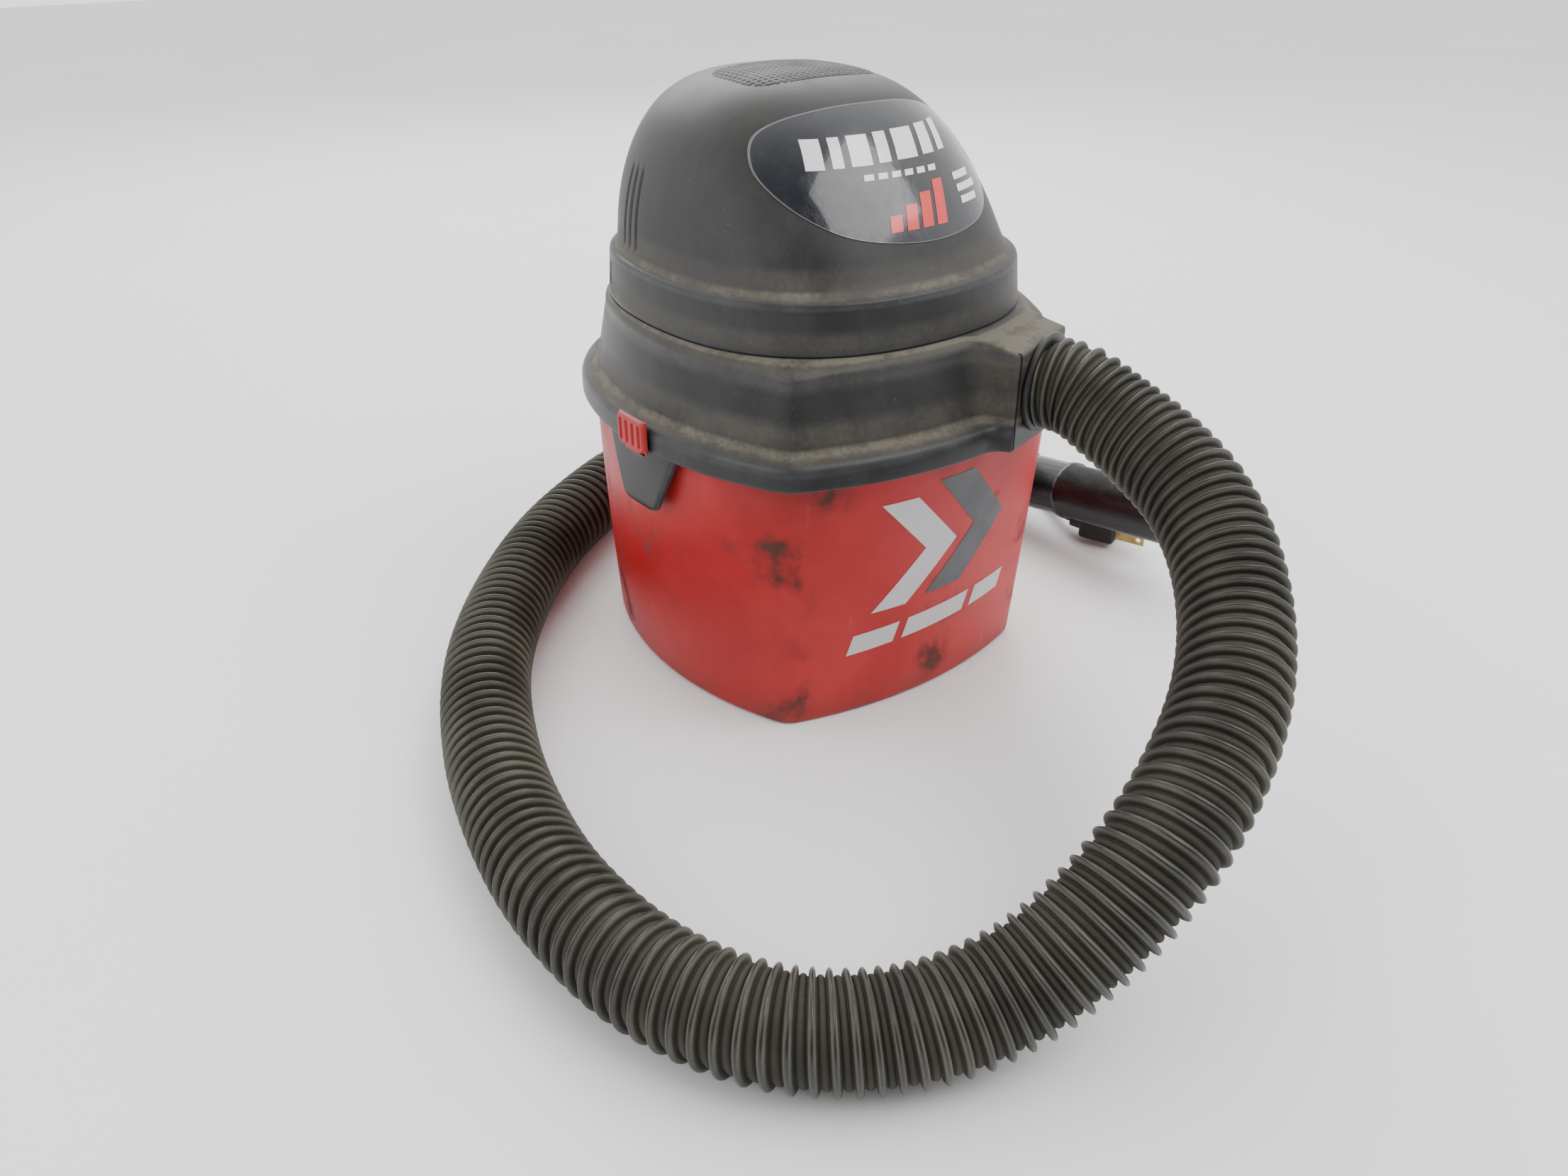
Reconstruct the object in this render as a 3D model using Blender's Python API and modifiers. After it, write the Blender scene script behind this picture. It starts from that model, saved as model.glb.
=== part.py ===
"""Small wet and dry vacuum: tapered tank, lid with a hose boss, motor head, hose, wand and mains cord.

Units are metres, +Z is up and the front of the machine faces -Y.
The origin is the centre of the tank's underside.
"""
import math

import bmesh
import bpy
from mathutils import Matrix, Vector

MM = 0.001
GAP = 0.3 * MM

# Plan outlines: radius of the front arc, the angle where it ends, corner radius, angle where it ends,
# radius of the side arc, angle where it ends, and the front-most Y. Angles are those of the outward
# normal, from 0 at the front to 180 at the back, and the back arc's radius closes the outline.
BASE_PLAN = (222, 18.0, 14.0, 62.9, 169.5, 109.0, -94.5)
SKIRT_PLAN = (195, 21.6, 32.6, 60.5, 167.0, 109.6, -112.7)
PLAN_STEPS = (3, 4, 5, 5)

TANK_RIM_Z = 137.5
TANK_WALL = 2.5
TANK_FLOOR = 3.2
TANK_INSET = 6.5
FLANGE_DROP = 4
FLANGE_OUT = 2.5

SKIRT_Z = 132
SKIRT_WALL = 3.4
DECK_Z = 140
DECK_TOP = 143
LID_WALL_Z = 175
LID_WALL_INSET = 14.6
SEAM_Z = 181.5
SUCTION_R = 16

# The round seam between the lid and the housing: radius against azimuth from the front, as cosines.
SEAM_MEAN = 95.8
SEAM_WAVES = ((1, -1.0), (2, 0.8), (3, 0.2), (4, -2.75))

BAND_TOP_Z = 204
BAND_TAPER = 0.982
DOME_FOOT = 0.93
DOME_TOP_Z = 278.8
DOME_LEAN = 21.6
DOME_POWER_Z = 1.457
DOME_POWER_R = 0.575
DOME_LEAN_POWER = 0.84
DOME_WALL = 2.6
DOME_RINGS = 9

# The hose boss on the front right corner: azimuth, face distance, and side to side range of its face.
BOSS_AZIMUTH = 20
BOSS_FACE = 118.5
BOSS_SIDE = (-13, 31)
BOSS_DEPTH = 54
BORE_Z = 157.5
BORE_R = 16
ELBOW_R = 13
ELBOW_BACK = 34

CAGE_SCREW_R = 48
CAGE_SCREW_AZIMUTHS = (90, 210, 330)
CAGE_WINDOW_TURNS = (0, 45, 90, 135)
CAGE_R = 32
CAGE_WALL = 2.4
CAGE_FOOT = 84
FLOAT_R = 20
HOUSING_SCREW_R = 90
HOUSING_SCREW_AZIMUTHS = (45, 135, 225, 315)

LATCH_NORMAL = 86.5
LATCH_WIDTH = 21
LATCH_GROOVES = (-7.2, -2.4, 2.4, 7.2)
LATCH_PIN_Z = 140
LATCH_PLATE_Z = 139.45
PLATE_FORWARD = 1.8
WINDOW_Z = (128.3, 142)
LATCH_PIN_R = 0.9
TAB_TOP_WIDTH = 54
TAB_FOOT_WIDTH = 29
TAB_FOOT_Z = 103

HOSE_R = 21
HOSE_POINTS = (
    (0.0518, -0.1160, 0.1575), (0.0550, -0.1268, 0.1564), (0.0575, -0.1440, 0.1500),
    (0.0590, -0.1669, 0.1418), (0.0556, -0.1928, 0.1321), (0.0450, -0.2170, 0.1205),
    (0.0270, -0.2400, 0.1070), (0.0020, -0.2600, 0.0945), (-0.0270, -0.2745, 0.0820),
    (-0.0570, -0.2825, 0.0665), (-0.0880, -0.2825, 0.0465), (-0.1200, -0.2755, 0.0290),
    (-0.1560, -0.2620, 0.0222), (-0.1900, -0.2360, 0.0215), (-0.2125, -0.1950, 0.0215),
    (-0.2210, -0.1450, 0.0215), (-0.2180, -0.0950, 0.0215), (-0.2055, -0.0400, 0.0215),
    (-0.1815, 0.0180, 0.0215), (-0.1450, 0.0710, 0.0215), (-0.0985, 0.1190, 0.0215),
    (-0.0470, 0.1550, 0.0215), (-0.0126, 0.1710, 0.0215), (0.0224, 0.1770, 0.0215),
    (0.0577, 0.1739, 0.0215), (0.0895, 0.1614, 0.0215), (0.1184, 0.1429, 0.0215),
    (0.1416, 0.1176, 0.0215), (0.1572, 0.0872, 0.0215), (0.1644, 0.0638, 0.0222),
    (0.1652, 0.0500, 0.0243),
)
HOSE_STEP = 0.026
CUFF_DEPTH = 18
WAND_AIM = Vector((0.058, -0.987, 0.150)).normalized()
WAND_R = 16
WAND_WALL = 2.2
WAND_LENGTH = 150
END_CUFF_LENGTH = 46

CORD_R = 3.5
RELIEF_Z = 193
RELIEF_TIP_Y = 134
COIL_CENTRE = (0.104, 0.246)
COIL_INNER = 27
COIL_OUTER = 48
COIL_HEIGHT = 14
CORD_FROM_HEAD = (
    (0.0000, 0.1344, 0.1930), (0.0000, 0.1420, 0.1930), (0.0010, 0.1530, 0.1890),
    (0.0040, 0.1680, 0.1750), (0.0080, 0.1830, 0.1500), (0.0120, 0.2000, 0.1150),
    (0.0170, 0.2160, 0.0780),
    (0.0250, 0.2320, 0.0450), (0.0350, 0.2480, 0.0200), (0.0475, 0.2640, 0.0115),
    (0.0590, 0.2790, 0.0105),
)
CORD_TO_PLUG = (
    (0.1490, 0.2170, 0.0035), (0.1502, 0.2050, 0.0035), (0.1555, 0.1930, 0.0035),
    (0.1640, 0.1830, 0.0035), (0.1760, 0.1720, 0.0035), (0.1910, 0.1450, 0.0035),
    (0.2030, 0.1150, 0.0035), (0.2090, 0.0830, 0.0035), (0.2085, 0.0520, 0.0035),
    (0.2030, 0.0230, 0.0040), (0.1950, -0.0010, 0.0065), (0.1880, -0.0190, 0.0092),
)
PLUG_AIM = Vector((0.36, -0.933, 0.0))
PLUG_REAR = Vector((0.1868, -0.0220, 0.0095))
BLADE_SPACING = 12.7

COLLECTION = "shop_vacuum"
TO_X = Matrix.Rotation(math.radians(90), 4, "Y")


# ---------------------------------------------------------------- scene helpers

def clear_scene():
    for obj in list(bpy.data.objects):
        bpy.data.objects.remove(obj, do_unlink=True)


def collection(name):
    group = bpy.data.collections.get(name)
    if group is None:
        group = bpy.data.collections.new(name)
        bpy.context.scene.collection.children.link(group)
    return group


def material(name, colour, roughness, metallic=0.0):
    mat = bpy.data.materials.get(name)
    if mat is None:
        mat = bpy.data.materials.new(name)
        mat.use_nodes = True
        shader = mat.node_tree.nodes["Principled BSDF"]
        shader.inputs["Base Color"].default_value = (*colour, 1.0)
        shader.inputs["Roughness"].default_value = roughness
        shader.inputs["Metallic"].default_value = metallic
    return mat


def make_object(name, mesh, finish, smooth=True):
    obj = bpy.data.objects.new(name, mesh)
    collection(COLLECTION).objects.link(obj)
    mesh.materials.clear()
    mesh.materials.append(FINISHES[finish])
    if smooth:
        mesh.shade_smooth()
        mesh.set_sharp_from_angle(angle=math.radians(35))
    return obj


def make_cutter(name, mesh):
    obj = bpy.data.objects.new(name, mesh)
    collection("cutters").objects.link(obj)
    obj.hide_render = True
    obj.display_type = "WIRE"
    return obj


def face_outwards(bm):
    """Make all faces agree, then turn them all round if the volume they enclose is negative."""
    bmesh.ops.recalc_face_normals(bm, faces=bm.faces)
    if bm.calc_volume(signed=True) < 0:
        bmesh.ops.reverse_faces(bm, faces=bm.faces)


def mesh_from(bm, name):
    face_outwards(bm)
    mesh = bpy.data.meshes.new(name)
    bm.to_mesh(mesh)
    bm.free()
    return mesh


def boolean(obj, tool, operation):
    """Apply one exact Boolean so that later ones work on a plain mesh."""
    mod = obj.modifiers.new(operation.lower(), "BOOLEAN")
    mod.operation = operation
    mod.solver = "EXACT"
    mod.object = tool
    bpy.context.view_layer.update()
    result = bpy.data.meshes.new_from_object(obj.evaluated_get(bpy.context.evaluated_depsgraph_get()))
    obj.modifiers.remove(mod)
    slots = list(obj.data.materials)
    obj.data = result
    obj.data.materials.clear()
    for slot in slots:
        obj.data.materials.append(slot)
    bpy.data.objects.remove(tool, do_unlink=True)


def cut(obj, mesh):
    boolean(obj, make_cutter("cutter", mesh), "DIFFERENCE")


def join(obj, mesh):
    boolean(obj, make_cutter("addition", mesh), "UNION")


# ---------------------------------------------------------------- mesh makers

def ring_mesh(name, rings, closed=False):
    """Skin a stack of rings with the same number of points; open stacks get a cap at each end."""
    bm = bmesh.new()
    layers = [[bm.verts.new(point) for point in ring] for ring in rings]
    pairs = list(zip(layers, layers[1:]))
    if closed:
        pairs.append((layers[-1], layers[0]))
    count = len(layers[0])
    for low, high in pairs:
        for i in range(count):
            j = (i + 1) % count
            bm.faces.new((low[i], low[j], high[j], high[i]))
    if not closed:
        bm.faces.new(layers[0])
        bm.faces.new(layers[-1])
    return mesh_from(bm, name)


def block_mesh(name, size, place, bevel=0.0, segments=2):
    """A box of the given size in millimetres at a placement matrix, with rounded edges."""
    bm = bmesh.new()
    bmesh.ops.create_cube(bm, size=1.0)
    bmesh.ops.scale(bm, vec=Vector(size) * MM, verts=bm.verts)
    if bevel:
        bmesh.ops.bevel(bm, geom=bm.edges, offset=bevel * MM, segments=segments, affect="EDGES",
                        profile=0.5, clamp_overlap=True)
    bm.transform(place)
    return mesh_from(bm, name)


def rod_mesh(name, radius, length, place, sides=24, tip_radius=None):
    """A cylinder or cone along the placement's Z axis, starting at its origin."""
    bm = bmesh.new()
    end = radius if tip_radius is None else tip_radius
    bmesh.ops.create_cone(bm, cap_ends=True, segments=sides, radius1=radius * MM, radius2=end * MM,
                          depth=length * MM)
    bmesh.ops.translate(bm, vec=(0, 0, length * MM / 2), verts=bm.verts)
    bm.transform(place)
    return mesh_from(bm, name)


def merged(name, meshes):
    """One mesh that holds several separate closed shapes, for use as a cutter."""
    bm = bmesh.new()
    for mesh in meshes:
        bm.from_mesh(mesh)
    out = bpy.data.meshes.new(name)
    bm.to_mesh(out)
    bm.free()
    return out


def turned(name, profile, finish, place=Matrix.Identity(4), steps=28, ring=False):
    """Turn a profile of (radius, height) pairs in millimetres about the placement's Z axis.

    The profile runs down the outer side. A ring's profile closes on itself.
    """
    bm = bmesh.new()
    verts = [bm.verts.new((radius * MM, 0, height * MM)) for radius, height in profile]
    for a, b in zip(verts, verts[1:]):
        bm.edges.new((a, b))
    if ring:
        bm.edges.new((verts[-1], verts[0]))
    mesh = bpy.data.meshes.new(name)
    bm.to_mesh(mesh)
    bm.free()
    obj = make_object(name, mesh, finish, smooth=False)
    screw = obj.modifiers.new("turn", "SCREW")
    screw.steps = steps
    screw.render_steps = steps
    screw.use_merge_vertices = True
    screw.merge_threshold = 0.00001
    screw.use_smooth_shade = True
    obj.matrix_world = place
    return obj


def baked(obj):
    """Replace an object's modifiers by their result, in world space."""
    bpy.context.view_layer.update()
    place = obj.matrix_world.copy()
    mesh = bpy.data.meshes.new_from_object(obj.evaluated_get(bpy.context.evaluated_depsgraph_get()))
    obj.modifiers.clear()
    obj.data = mesh
    mesh.transform(place)
    obj.matrix_world = Matrix.Identity(4)
    bm = bmesh.new()
    bm.from_mesh(mesh)
    face_outwards(bm)
    bm.to_mesh(mesh)
    bm.free()
    return obj


def at(x, y, z):
    return Matrix.Translation(Vector((x, y, z)) * MM)


def turned_by(degrees):
    return Matrix.Rotation(math.radians(degrees), 4, "Z")


def along(axis, origin):
    """A placement whose Z axis points along the given direction."""
    turn = Vector(axis).normalized().to_track_quat("Z", "Y").to_matrix().to_4x4()
    return Matrix.Translation(Vector(origin)) @ turn


def facing(azimuth, distance, side, z):
    """A placement at a wall: X along the wall, Y into the machine, Z up; azimuth is from the front."""
    return turned_by(azimuth) @ Matrix.Translation(Vector((side, -distance, z)) * MM)


def smooth_route(points, step):
    """Points at about the given spacing on a smooth curve through the route's own points."""
    knots = [Vector(p) for p in points]
    knots = [2 * knots[0] - knots[1]] + knots + [2 * knots[-1] - knots[-2]]
    route = []
    for before, start, end, after in zip(knots, knots[1:], knots[2:], knots[3:]):
        count = max(1, round((end - start).length / step))
        for i in range(count):
            t = i / count
            route.append(0.5 * (2 * start + (end - before) * t
                                + (2 * before - 5 * start + 4 * end - after) * t * t
                                + (3 * start - before - 3 * end + after) * t ** 3))
    route.append(knots[-2])
    return route


def tube(name, points, radius, finish, resolution=3):
    """A round solid along a list of points, with flat ends."""
    curve = bpy.data.curves.new(name, "CURVE")
    curve.dimensions = "3D"
    curve.bevel_depth = radius * MM
    curve.bevel_resolution = resolution
    curve.use_fill_caps = True
    spline = curve.splines.new("POLY")
    spline.points.add(len(points) - 1)
    for slot, point in zip(spline.points, points):
        slot.co = (*point, 1.0)
    curve.materials.append(FINISHES[finish])
    obj = bpy.data.objects.new(name, curve)
    collection(COLLECTION).objects.link(obj)
    return obj


# ---------------------------------------------------------------- outlines

def plan_points(plan, inset, z):
    """An outline moved inwards by the inset, as points at height z, symmetric about X = 0."""
    front_r, front_end, corner_r, corner_end, side_r, side_end, front_y = plan
    stops = [math.radians(a) for a in (0, front_end, corner_end, side_end, 180)]
    reach = (front_r * math.sin(stops[1]) + corner_r * (math.sin(stops[2]) - math.sin(stops[1]))
             + side_r * (math.sin(stops[3]) - math.sin(stops[2])))
    back_r = reach / math.sin(stops[3])
    x, y = 0.0, front_y
    half = []
    for radius, start, end, steps in zip((front_r, corner_r, side_r, back_r), stops, stops[1:], PLAN_STEPS):
        for i in range(steps):
            t = start + (end - start) * i / steps
            px = x + radius * (math.sin(t) - math.sin(start))
            py = y + radius * (math.cos(start) - math.cos(t))
            half.append((px - inset * math.sin(t), py + inset * math.cos(t)))
        x += radius * (math.sin(end) - math.sin(start))
        y += radius * (math.cos(start) - math.cos(end))
    half.append((0.0, y - inset))
    mirrored = [(-px, py) for px, py in half[-2:0:-1]]
    return [Vector((px, py, z)) * MM for px, py in half + mirrored]


def blended_plan(share):
    return tuple(a + (b - a) * share for a, b in zip(BASE_PLAN, SKIRT_PLAN))


def tank_points(z, inset):
    """The tank's outline at height z: it widens evenly from its base to its rim."""
    share = max(0.0, z) / TANK_RIM_Z
    return plan_points(blended_plan(share), inset + TANK_INSET * share, z)


def azimuths(ring):
    return [math.atan2(p.x, -p.y) for p in ring]


SKIRT_AZIMUTHS = azimuths(plan_points(SKIRT_PLAN, 0, 0))


def seam_radius(azimuth):
    return SEAM_MEAN + sum(size * math.cos(k * azimuth) for k, size in SEAM_WAVES)


def seam_points(scale, inset, shift, z):
    """The seam's outline scaled, moved in, and moved back by a shift, at height z."""
    ring = []
    for azimuth in SKIRT_AZIMUTHS:
        r = seam_radius(azimuth) * scale - inset
        ring.append(Vector((r * math.sin(azimuth), shift - r * math.cos(azimuth), z)) * MM)
    return ring


def round_points(radius, z, shift=0.0):
    return [Vector((radius * math.sin(a), shift - radius * math.cos(a), z)) * MM for a in SKIRT_AZIMUTHS]


def mixed(ring_a, ring_b, share, z):
    ring = [a.lerp(b, share) for a, b in zip(ring_a, ring_b)]
    for point in ring:
        point.z = z * MM
    return ring


def outline_place(plan, normal, z, inset=0.0):
    """The placement on an outline where its normal has the given angle, as facing() makes it."""
    front_r, front_end, corner_r, corner_end, side_r, side_end, front_y = plan
    a, b, t = (math.radians(v) for v in (front_end, corner_end, abs(normal)))
    x = front_r * math.sin(a) + corner_r * (math.sin(b) - math.sin(a)) + side_r * (math.sin(t) - math.sin(b))
    y = (front_y + front_r * (1 - math.cos(a)) + corner_r * (math.cos(a) - math.cos(b))
         + side_r * (math.cos(b) - math.cos(t)))
    x -= inset * math.sin(t)
    y += inset * math.cos(t)
    sign = 1 if normal >= 0 else -1
    return (Matrix.Translation(Vector((sign * x, y, z)) * MM)
            @ Matrix.Rotation(math.radians(normal), 4, "Z"))


# ---------------------------------------------------------------- tank and lid

def build_tank():
    outer = [tank_points(0, 2.2), tank_points(0.7, 0.7), tank_points(2.6, 0), tank_points(70, 0)]
    under = TANK_RIM_Z - FLANGE_DROP
    outer += [tank_points(under, 0), tank_points(under, -FLANGE_OUT)]
    outer += [tank_points(TANK_RIM_Z, -FLANGE_OUT)]
    inner = [tank_points(TANK_RIM_Z, TANK_WALL), tank_points(70, TANK_WALL)]
    inner += [tank_points(8, TANK_WALL), tank_points(TANK_FLOOR, TANK_WALL + 3.5)]
    make_object("tank", ring_mesh("tank", outer + inner), "tank_red")


def build_gasket():
    low, high = TANK_RIM_Z + GAP / MM, DECK_Z - GAP / MM
    rings = [tank_points(TANK_RIM_Z, -1.6), tank_points(TANK_RIM_Z, -1.6),
             tank_points(TANK_RIM_Z, 1.8), tank_points(TANK_RIM_Z, 1.8)]
    for ring, z in zip(rings, (low, high, high, low)):
        for point in ring:
            point.z = z * MM
    make_object("lid_gasket", ring_mesh("lid_gasket", rings, closed=True), "gasket")


def lid_rings():
    wall = plan_points(SKIRT_PLAN, LID_WALL_INSET, LID_WALL_Z)
    seam = seam_points(1, 0, 0, SEAM_Z)
    inner_wall = plan_points(SKIRT_PLAN, LID_WALL_INSET + 2.7, 174)
    rings = [plan_points(SKIRT_PLAN, inset, z) for z, inset in
             ((SKIRT_Z, 0.8), (SKIRT_Z + 0.8, 0), (139.5, 0.1), (142.4, 1.2), (144.2, 3.4), (144.9, 6.2),
              (146.6, 8.6))]
    rings.append(wall)
    rings += [mixed(wall, seam, share, z)
              for share, z in ((0.22, 178.4), (0.6, 180.7), (1, SEAM_Z))]
    rings.append(seam_points(1, 5, 0, SEAM_Z))
    rings.append(mixed(inner_wall, seam_points(1, 6, 0, 174), 0.5, 174))
    rings.append(plan_points(SKIRT_PLAN, 12, DECK_TOP))
    rings += [round_points(SUCTION_R, DECK_TOP), round_points(SUCTION_R, DECK_Z)]
    rings += [plan_points(SKIRT_PLAN, SKIRT_WALL, DECK_Z), plan_points(SKIRT_PLAN, SKIRT_WALL, SKIRT_Z)]
    return rings


def boss_place(side, back, z):
    return facing(BOSS_AZIMUTH, BOSS_FACE - back, side, z)


def build_lid():
    lid = make_object("lid", ring_mesh("lid", lid_rings(), closed=True), "lid_black")
    width = BOSS_SIDE[1] - BOSS_SIDE[0]
    middle = sum(BOSS_SIDE) / 2
    foot = SKIRT_Z + 0.3
    high = SEAM_Z - 0.7 - foot
    boss = make_cutter("boss", block_mesh("boss", (width, BOSS_DEPTH, high),
                                          boss_place(middle, BOSS_DEPTH / 2, foot + high / 2), 2.5, 3))
    room = [plan_points(SKIRT_PLAN, SKIRT_WALL / 2, z) for z in (SKIRT_Z - 9, DECK_Z + 1.3)]
    cut(boss, ring_mesh("room", room))
    join(lid, boss.data)
    bpy.data.objects.remove(boss, do_unlink=True)
    for azimuth in HOUSING_SCREW_AZIMUTHS:
        post = at(0, 0, DECK_Z + 0.5) @ facing(azimuth, HOUSING_SCREW_R, 0, 0)
        join(lid, rod_mesh("post", 5.5, SEAM_Z - DECK_Z - 0.8, post, 16))
    for side in (-1, 1):
        join(lid, tab_mesh(side))
    cut(lid, rod_mesh("bore", BORE_R, ELBOW_BACK + 10, boss_place(middle, ELBOW_BACK + 8, BORE_Z)
                      @ Matrix.Rotation(math.radians(90), 4, "X"), 32))
    cut(lid, rod_mesh("elbow", ELBOW_R, BORE_Z - DECK_Z + 6,
                      boss_place(middle, ELBOW_BACK - 5, DECK_Z - 6), 28))
    holes = [rod_mesh("hole", 2.2, 60, facing(azimuth, HOUSING_SCREW_R, 0, DECK_Z - 8), 12)
             for azimuth in HOUSING_SCREW_AZIMUTHS]
    holes += [rod_mesh("hole", 2.3, 9, facing(azimuth, CAGE_SCREW_R, 0, DECK_Z - 3), 12)
              for azimuth in CAGE_SCREW_AZIMUTHS]
    cut(lid, merged("holes", holes))
    for side in (-1, 1):
        foot, top = WINDOW_Z
        window = latch_place(side, (foot + top) / 2) @ at(0, 1.7, 0)
        cut(lid, block_mesh("window", (13, 9, top - foot), window))
        cut(lid, rod_mesh("pin_hole", LATCH_PIN_R + 0.3, 17,
                          latch_place(side, LATCH_PIN_Z) @ at(-8.5, 1.7, 0) @ TO_X, 12))
    lid.data.shade_smooth()
    lid.data.set_sharp_from_angle(angle=math.radians(35))


def latch_place(side, z):
    return outline_place(SKIRT_PLAN, side * LATCH_NORMAL, z)


def tab_mesh(side):
    """The finger tab under a latch: wide at the skirt's edge and narrower at its foot."""
    bm = bmesh.new()
    high, low = SKIRT_Z + 1, TAB_FOOT_Z
    wide, narrow = TAB_TOP_WIDTH / 2, TAB_FOOT_WIDTH / 2
    rows = []
    for depth in (1.2, 4.0):
        rows.append([(-wide, depth + 1.6, high), (0, depth, high), (wide, depth + 1.6, high),
                     (narrow, depth - 0.4, low), (0, depth - 0.8, low), (-narrow, depth - 0.4, low)])
    front = [bm.verts.new(Vector(p) * MM) for p in rows[0]]
    back = [bm.verts.new(Vector(p) * MM) for p in rows[1]]
    for layer in (front, back):
        bm.faces.new((layer[0], layer[1], layer[4], layer[5]))
        bm.faces.new((layer[1], layer[2], layer[3], layer[4]))
    for i in range(6):
        j = (i + 1) % 6
        bm.faces.new((front[i], front[j], back[j], back[i]))
    bm.transform(latch_place(side, 0))
    return mesh_from(bm, "tab")


def build_latch(side, word):
    """A ribbed thumb plate outside the skirt, with a lug round its pin and a hook under the tank's lip."""
    name = "latch_" + word
    place = latch_place(side, LATCH_PIN_Z)
    middle = -side * PLATE_FORWARD
    high = LATCH_PLATE_Z - LATCH_PIN_Z
    plate = block_mesh(name, (LATCH_WIDTH, 2.6, 14.9), place @ at(middle, -1.9, high), 0.6)
    latch = make_object(name, plate, "latch_red")
    join(latch, block_mesh("lug", (12.2, 3.6, 12.2), place @ at(0, 0.7, -4.5), 0.0))
    join(latch, block_mesh("hook", (11.8, 4.6, 3.6), place @ at(0, 1.3, -8.7), 0.0))
    grooves = [block_mesh("groove", (1.9, 1.4, 11), place @ at(middle + x, -3.3, high))
               for x in LATCH_GROOVES]
    cut(latch, merged("grooves", grooves))
    cut(latch, rod_mesh("pin_hole", LATCH_PIN_R + 0.3, 20, place @ at(-10, 1.7, 0) @ TO_X, 12))
    pin = rod_mesh("latch_pin_" + word, LATCH_PIN_R, 16.2, place @ at(-8.1, 1.7, 0) @ TO_X, 12)
    make_object("latch_pin_" + word, pin, "steel")


# ---------------------------------------------------------------- filter under the lid

def build_float_cage():
    top = DECK_Z - GAP / MM
    cage = turned("float_cage", ((52, top), (52, top - 2.5), (CAGE_R, top - 2.5), (CAGE_R, CAGE_FOOT),
                                 (0, CAGE_FOOT), (0, CAGE_FOOT + 2.6), (CAGE_R - CAGE_WALL, CAGE_FOOT + 2.6),
                                 (CAGE_R - CAGE_WALL, top)), "cage_grey", ring=True)
    baked(cage)
    for turn in CAGE_WINDOW_TURNS:
        cut(cage, block_mesh("window", (90, 12, 42), at(0, 0, 113) @ turned_by(turn)))
    cut(cage, merged("holes", [rod_mesh("hole", 2.3, 9, facing(a, CAGE_SCREW_R, 0, top - 5), 12)
                               for a in CAGE_SCREW_AZIMUTHS]))
    profile = [(FLOAT_R * math.cos(math.radians(a)), FLOAT_R * math.sin(math.radians(a)))
               for a in range(90, -91, -18)]
    profile[0], profile[-1] = (0, FLOAT_R), (0, -FLOAT_R)
    turned("float_ball", profile, "float_white", at(0, 0, CAGE_FOOT + 2.9 + FLOAT_R), 18)
    for i, azimuth in enumerate(CAGE_SCREW_AZIMUTHS, 1):
        screw("cage_screw_%d" % i, facing(azimuth, CAGE_SCREW_R, 0, top - 2.8), 1.9, 5.4)


def screw(name, place, radius, length):
    """A pan head screw whose shank goes up from the placement and whose head hangs below it."""
    turned(name, ((0, length), (radius, length), (radius, 0), (radius + 1.8, 0), (radius + 1.8, -1.4),
                  (radius + 0.8, -2.2), (0, -2.2)), "steel", place, 12)


def build_sleeve():
    inner = CAGE_R + 0.6
    outer = inner + 11.5
    turned("foam_sleeve", ((outer - 0.5, 136.5), (outer, 135.5), (outer, 87), (outer - 0.5, 86), (inner, 86),
                           (inner, 136.5)), "foam", steps=28, ring=True)
    ring = outer + 0.3
    turned("sleeve_band", ((ring + 1.6, 131), (ring + 1.6, 127), (ring, 127), (ring, 131)),
           "gasket", steps=28, ring=True)


# ---------------------------------------------------------------- motor and fan

SHAFT_R = 4
SEGMENTS = 12
FAN_Z = 154
SHROUD_FOOT = DECK_TOP + 0.3


def bladed(name, radius, disc_z, disc_t, blade_h, blades, finish, lean):
    """A disc with a hub bored for the shaft and upright blades."""
    hub_top = disc_z + disc_t + blade_h
    disc_top = disc_z + disc_t
    wheel = turned(name, ((9, hub_top), (9, disc_top), (radius, disc_top), (radius, disc_z),
                          (SHAFT_R + 0.3, disc_z), (SHAFT_R + 0.3, hub_top)), finish, steps=28, ring=True)
    baked(wheel)
    for i in range(blades):
        spin = turned_by(360 * i / blades)
        length = radius - 13.5
        blade = spin @ at(12 + length / 2, 0, disc_top + blade_h / 2 - 0.3)
        join(wheel, block_mesh("blade", (length, 1.4, blade_h), blade @ turned_by(lean)))
    return wheel


def build_fan():
    turned("fan_shroud", ((58, 174.2), (58, SHROUD_FOOT), (56, SHROUD_FOOT), (56, 172.2), (7, 172.2),
                          (7, 174.2)), "cage_grey", ring=True)
    bladed("impeller", 50, FAN_Z, 1.6, 12, 8, "aluminium", 18)
    bladed("cooling_fan", 32, 184.2, 1.4, 5, 8, "fan_plastic", 12)


def build_motor():
    turned("motor_base", ((62, 179.2), (62, 174.5), (11.3, 174.5), (11.3, 179.2)), "cage_grey",
           ring=True)
    bearing("lower_bearing", 11, 174.6, 7)
    bearing("upper_bearing", 8, 250.3, 5)
    turned("motor_shaft", ((0, 261), (SHAFT_R - 0.5, 261), (SHAFT_R, 260.4), (SHAFT_R, 152.6),
                           (SHAFT_R - 0.5, 152), (0, 152)), "steel", steps=20)
    build_armature()
    build_stator()
    build_brushes()
    build_bracket()


def bearing(name, outer, low, height):
    inner = SHAFT_R + 0.08
    high = low + height
    turned(name, ((outer - 0.5, high), (outer, high - 0.5), (outer, low + 0.5), (outer - 0.5, low),
                  (inner, low), (inner, high)), "steel", steps=20, ring=True)


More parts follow.
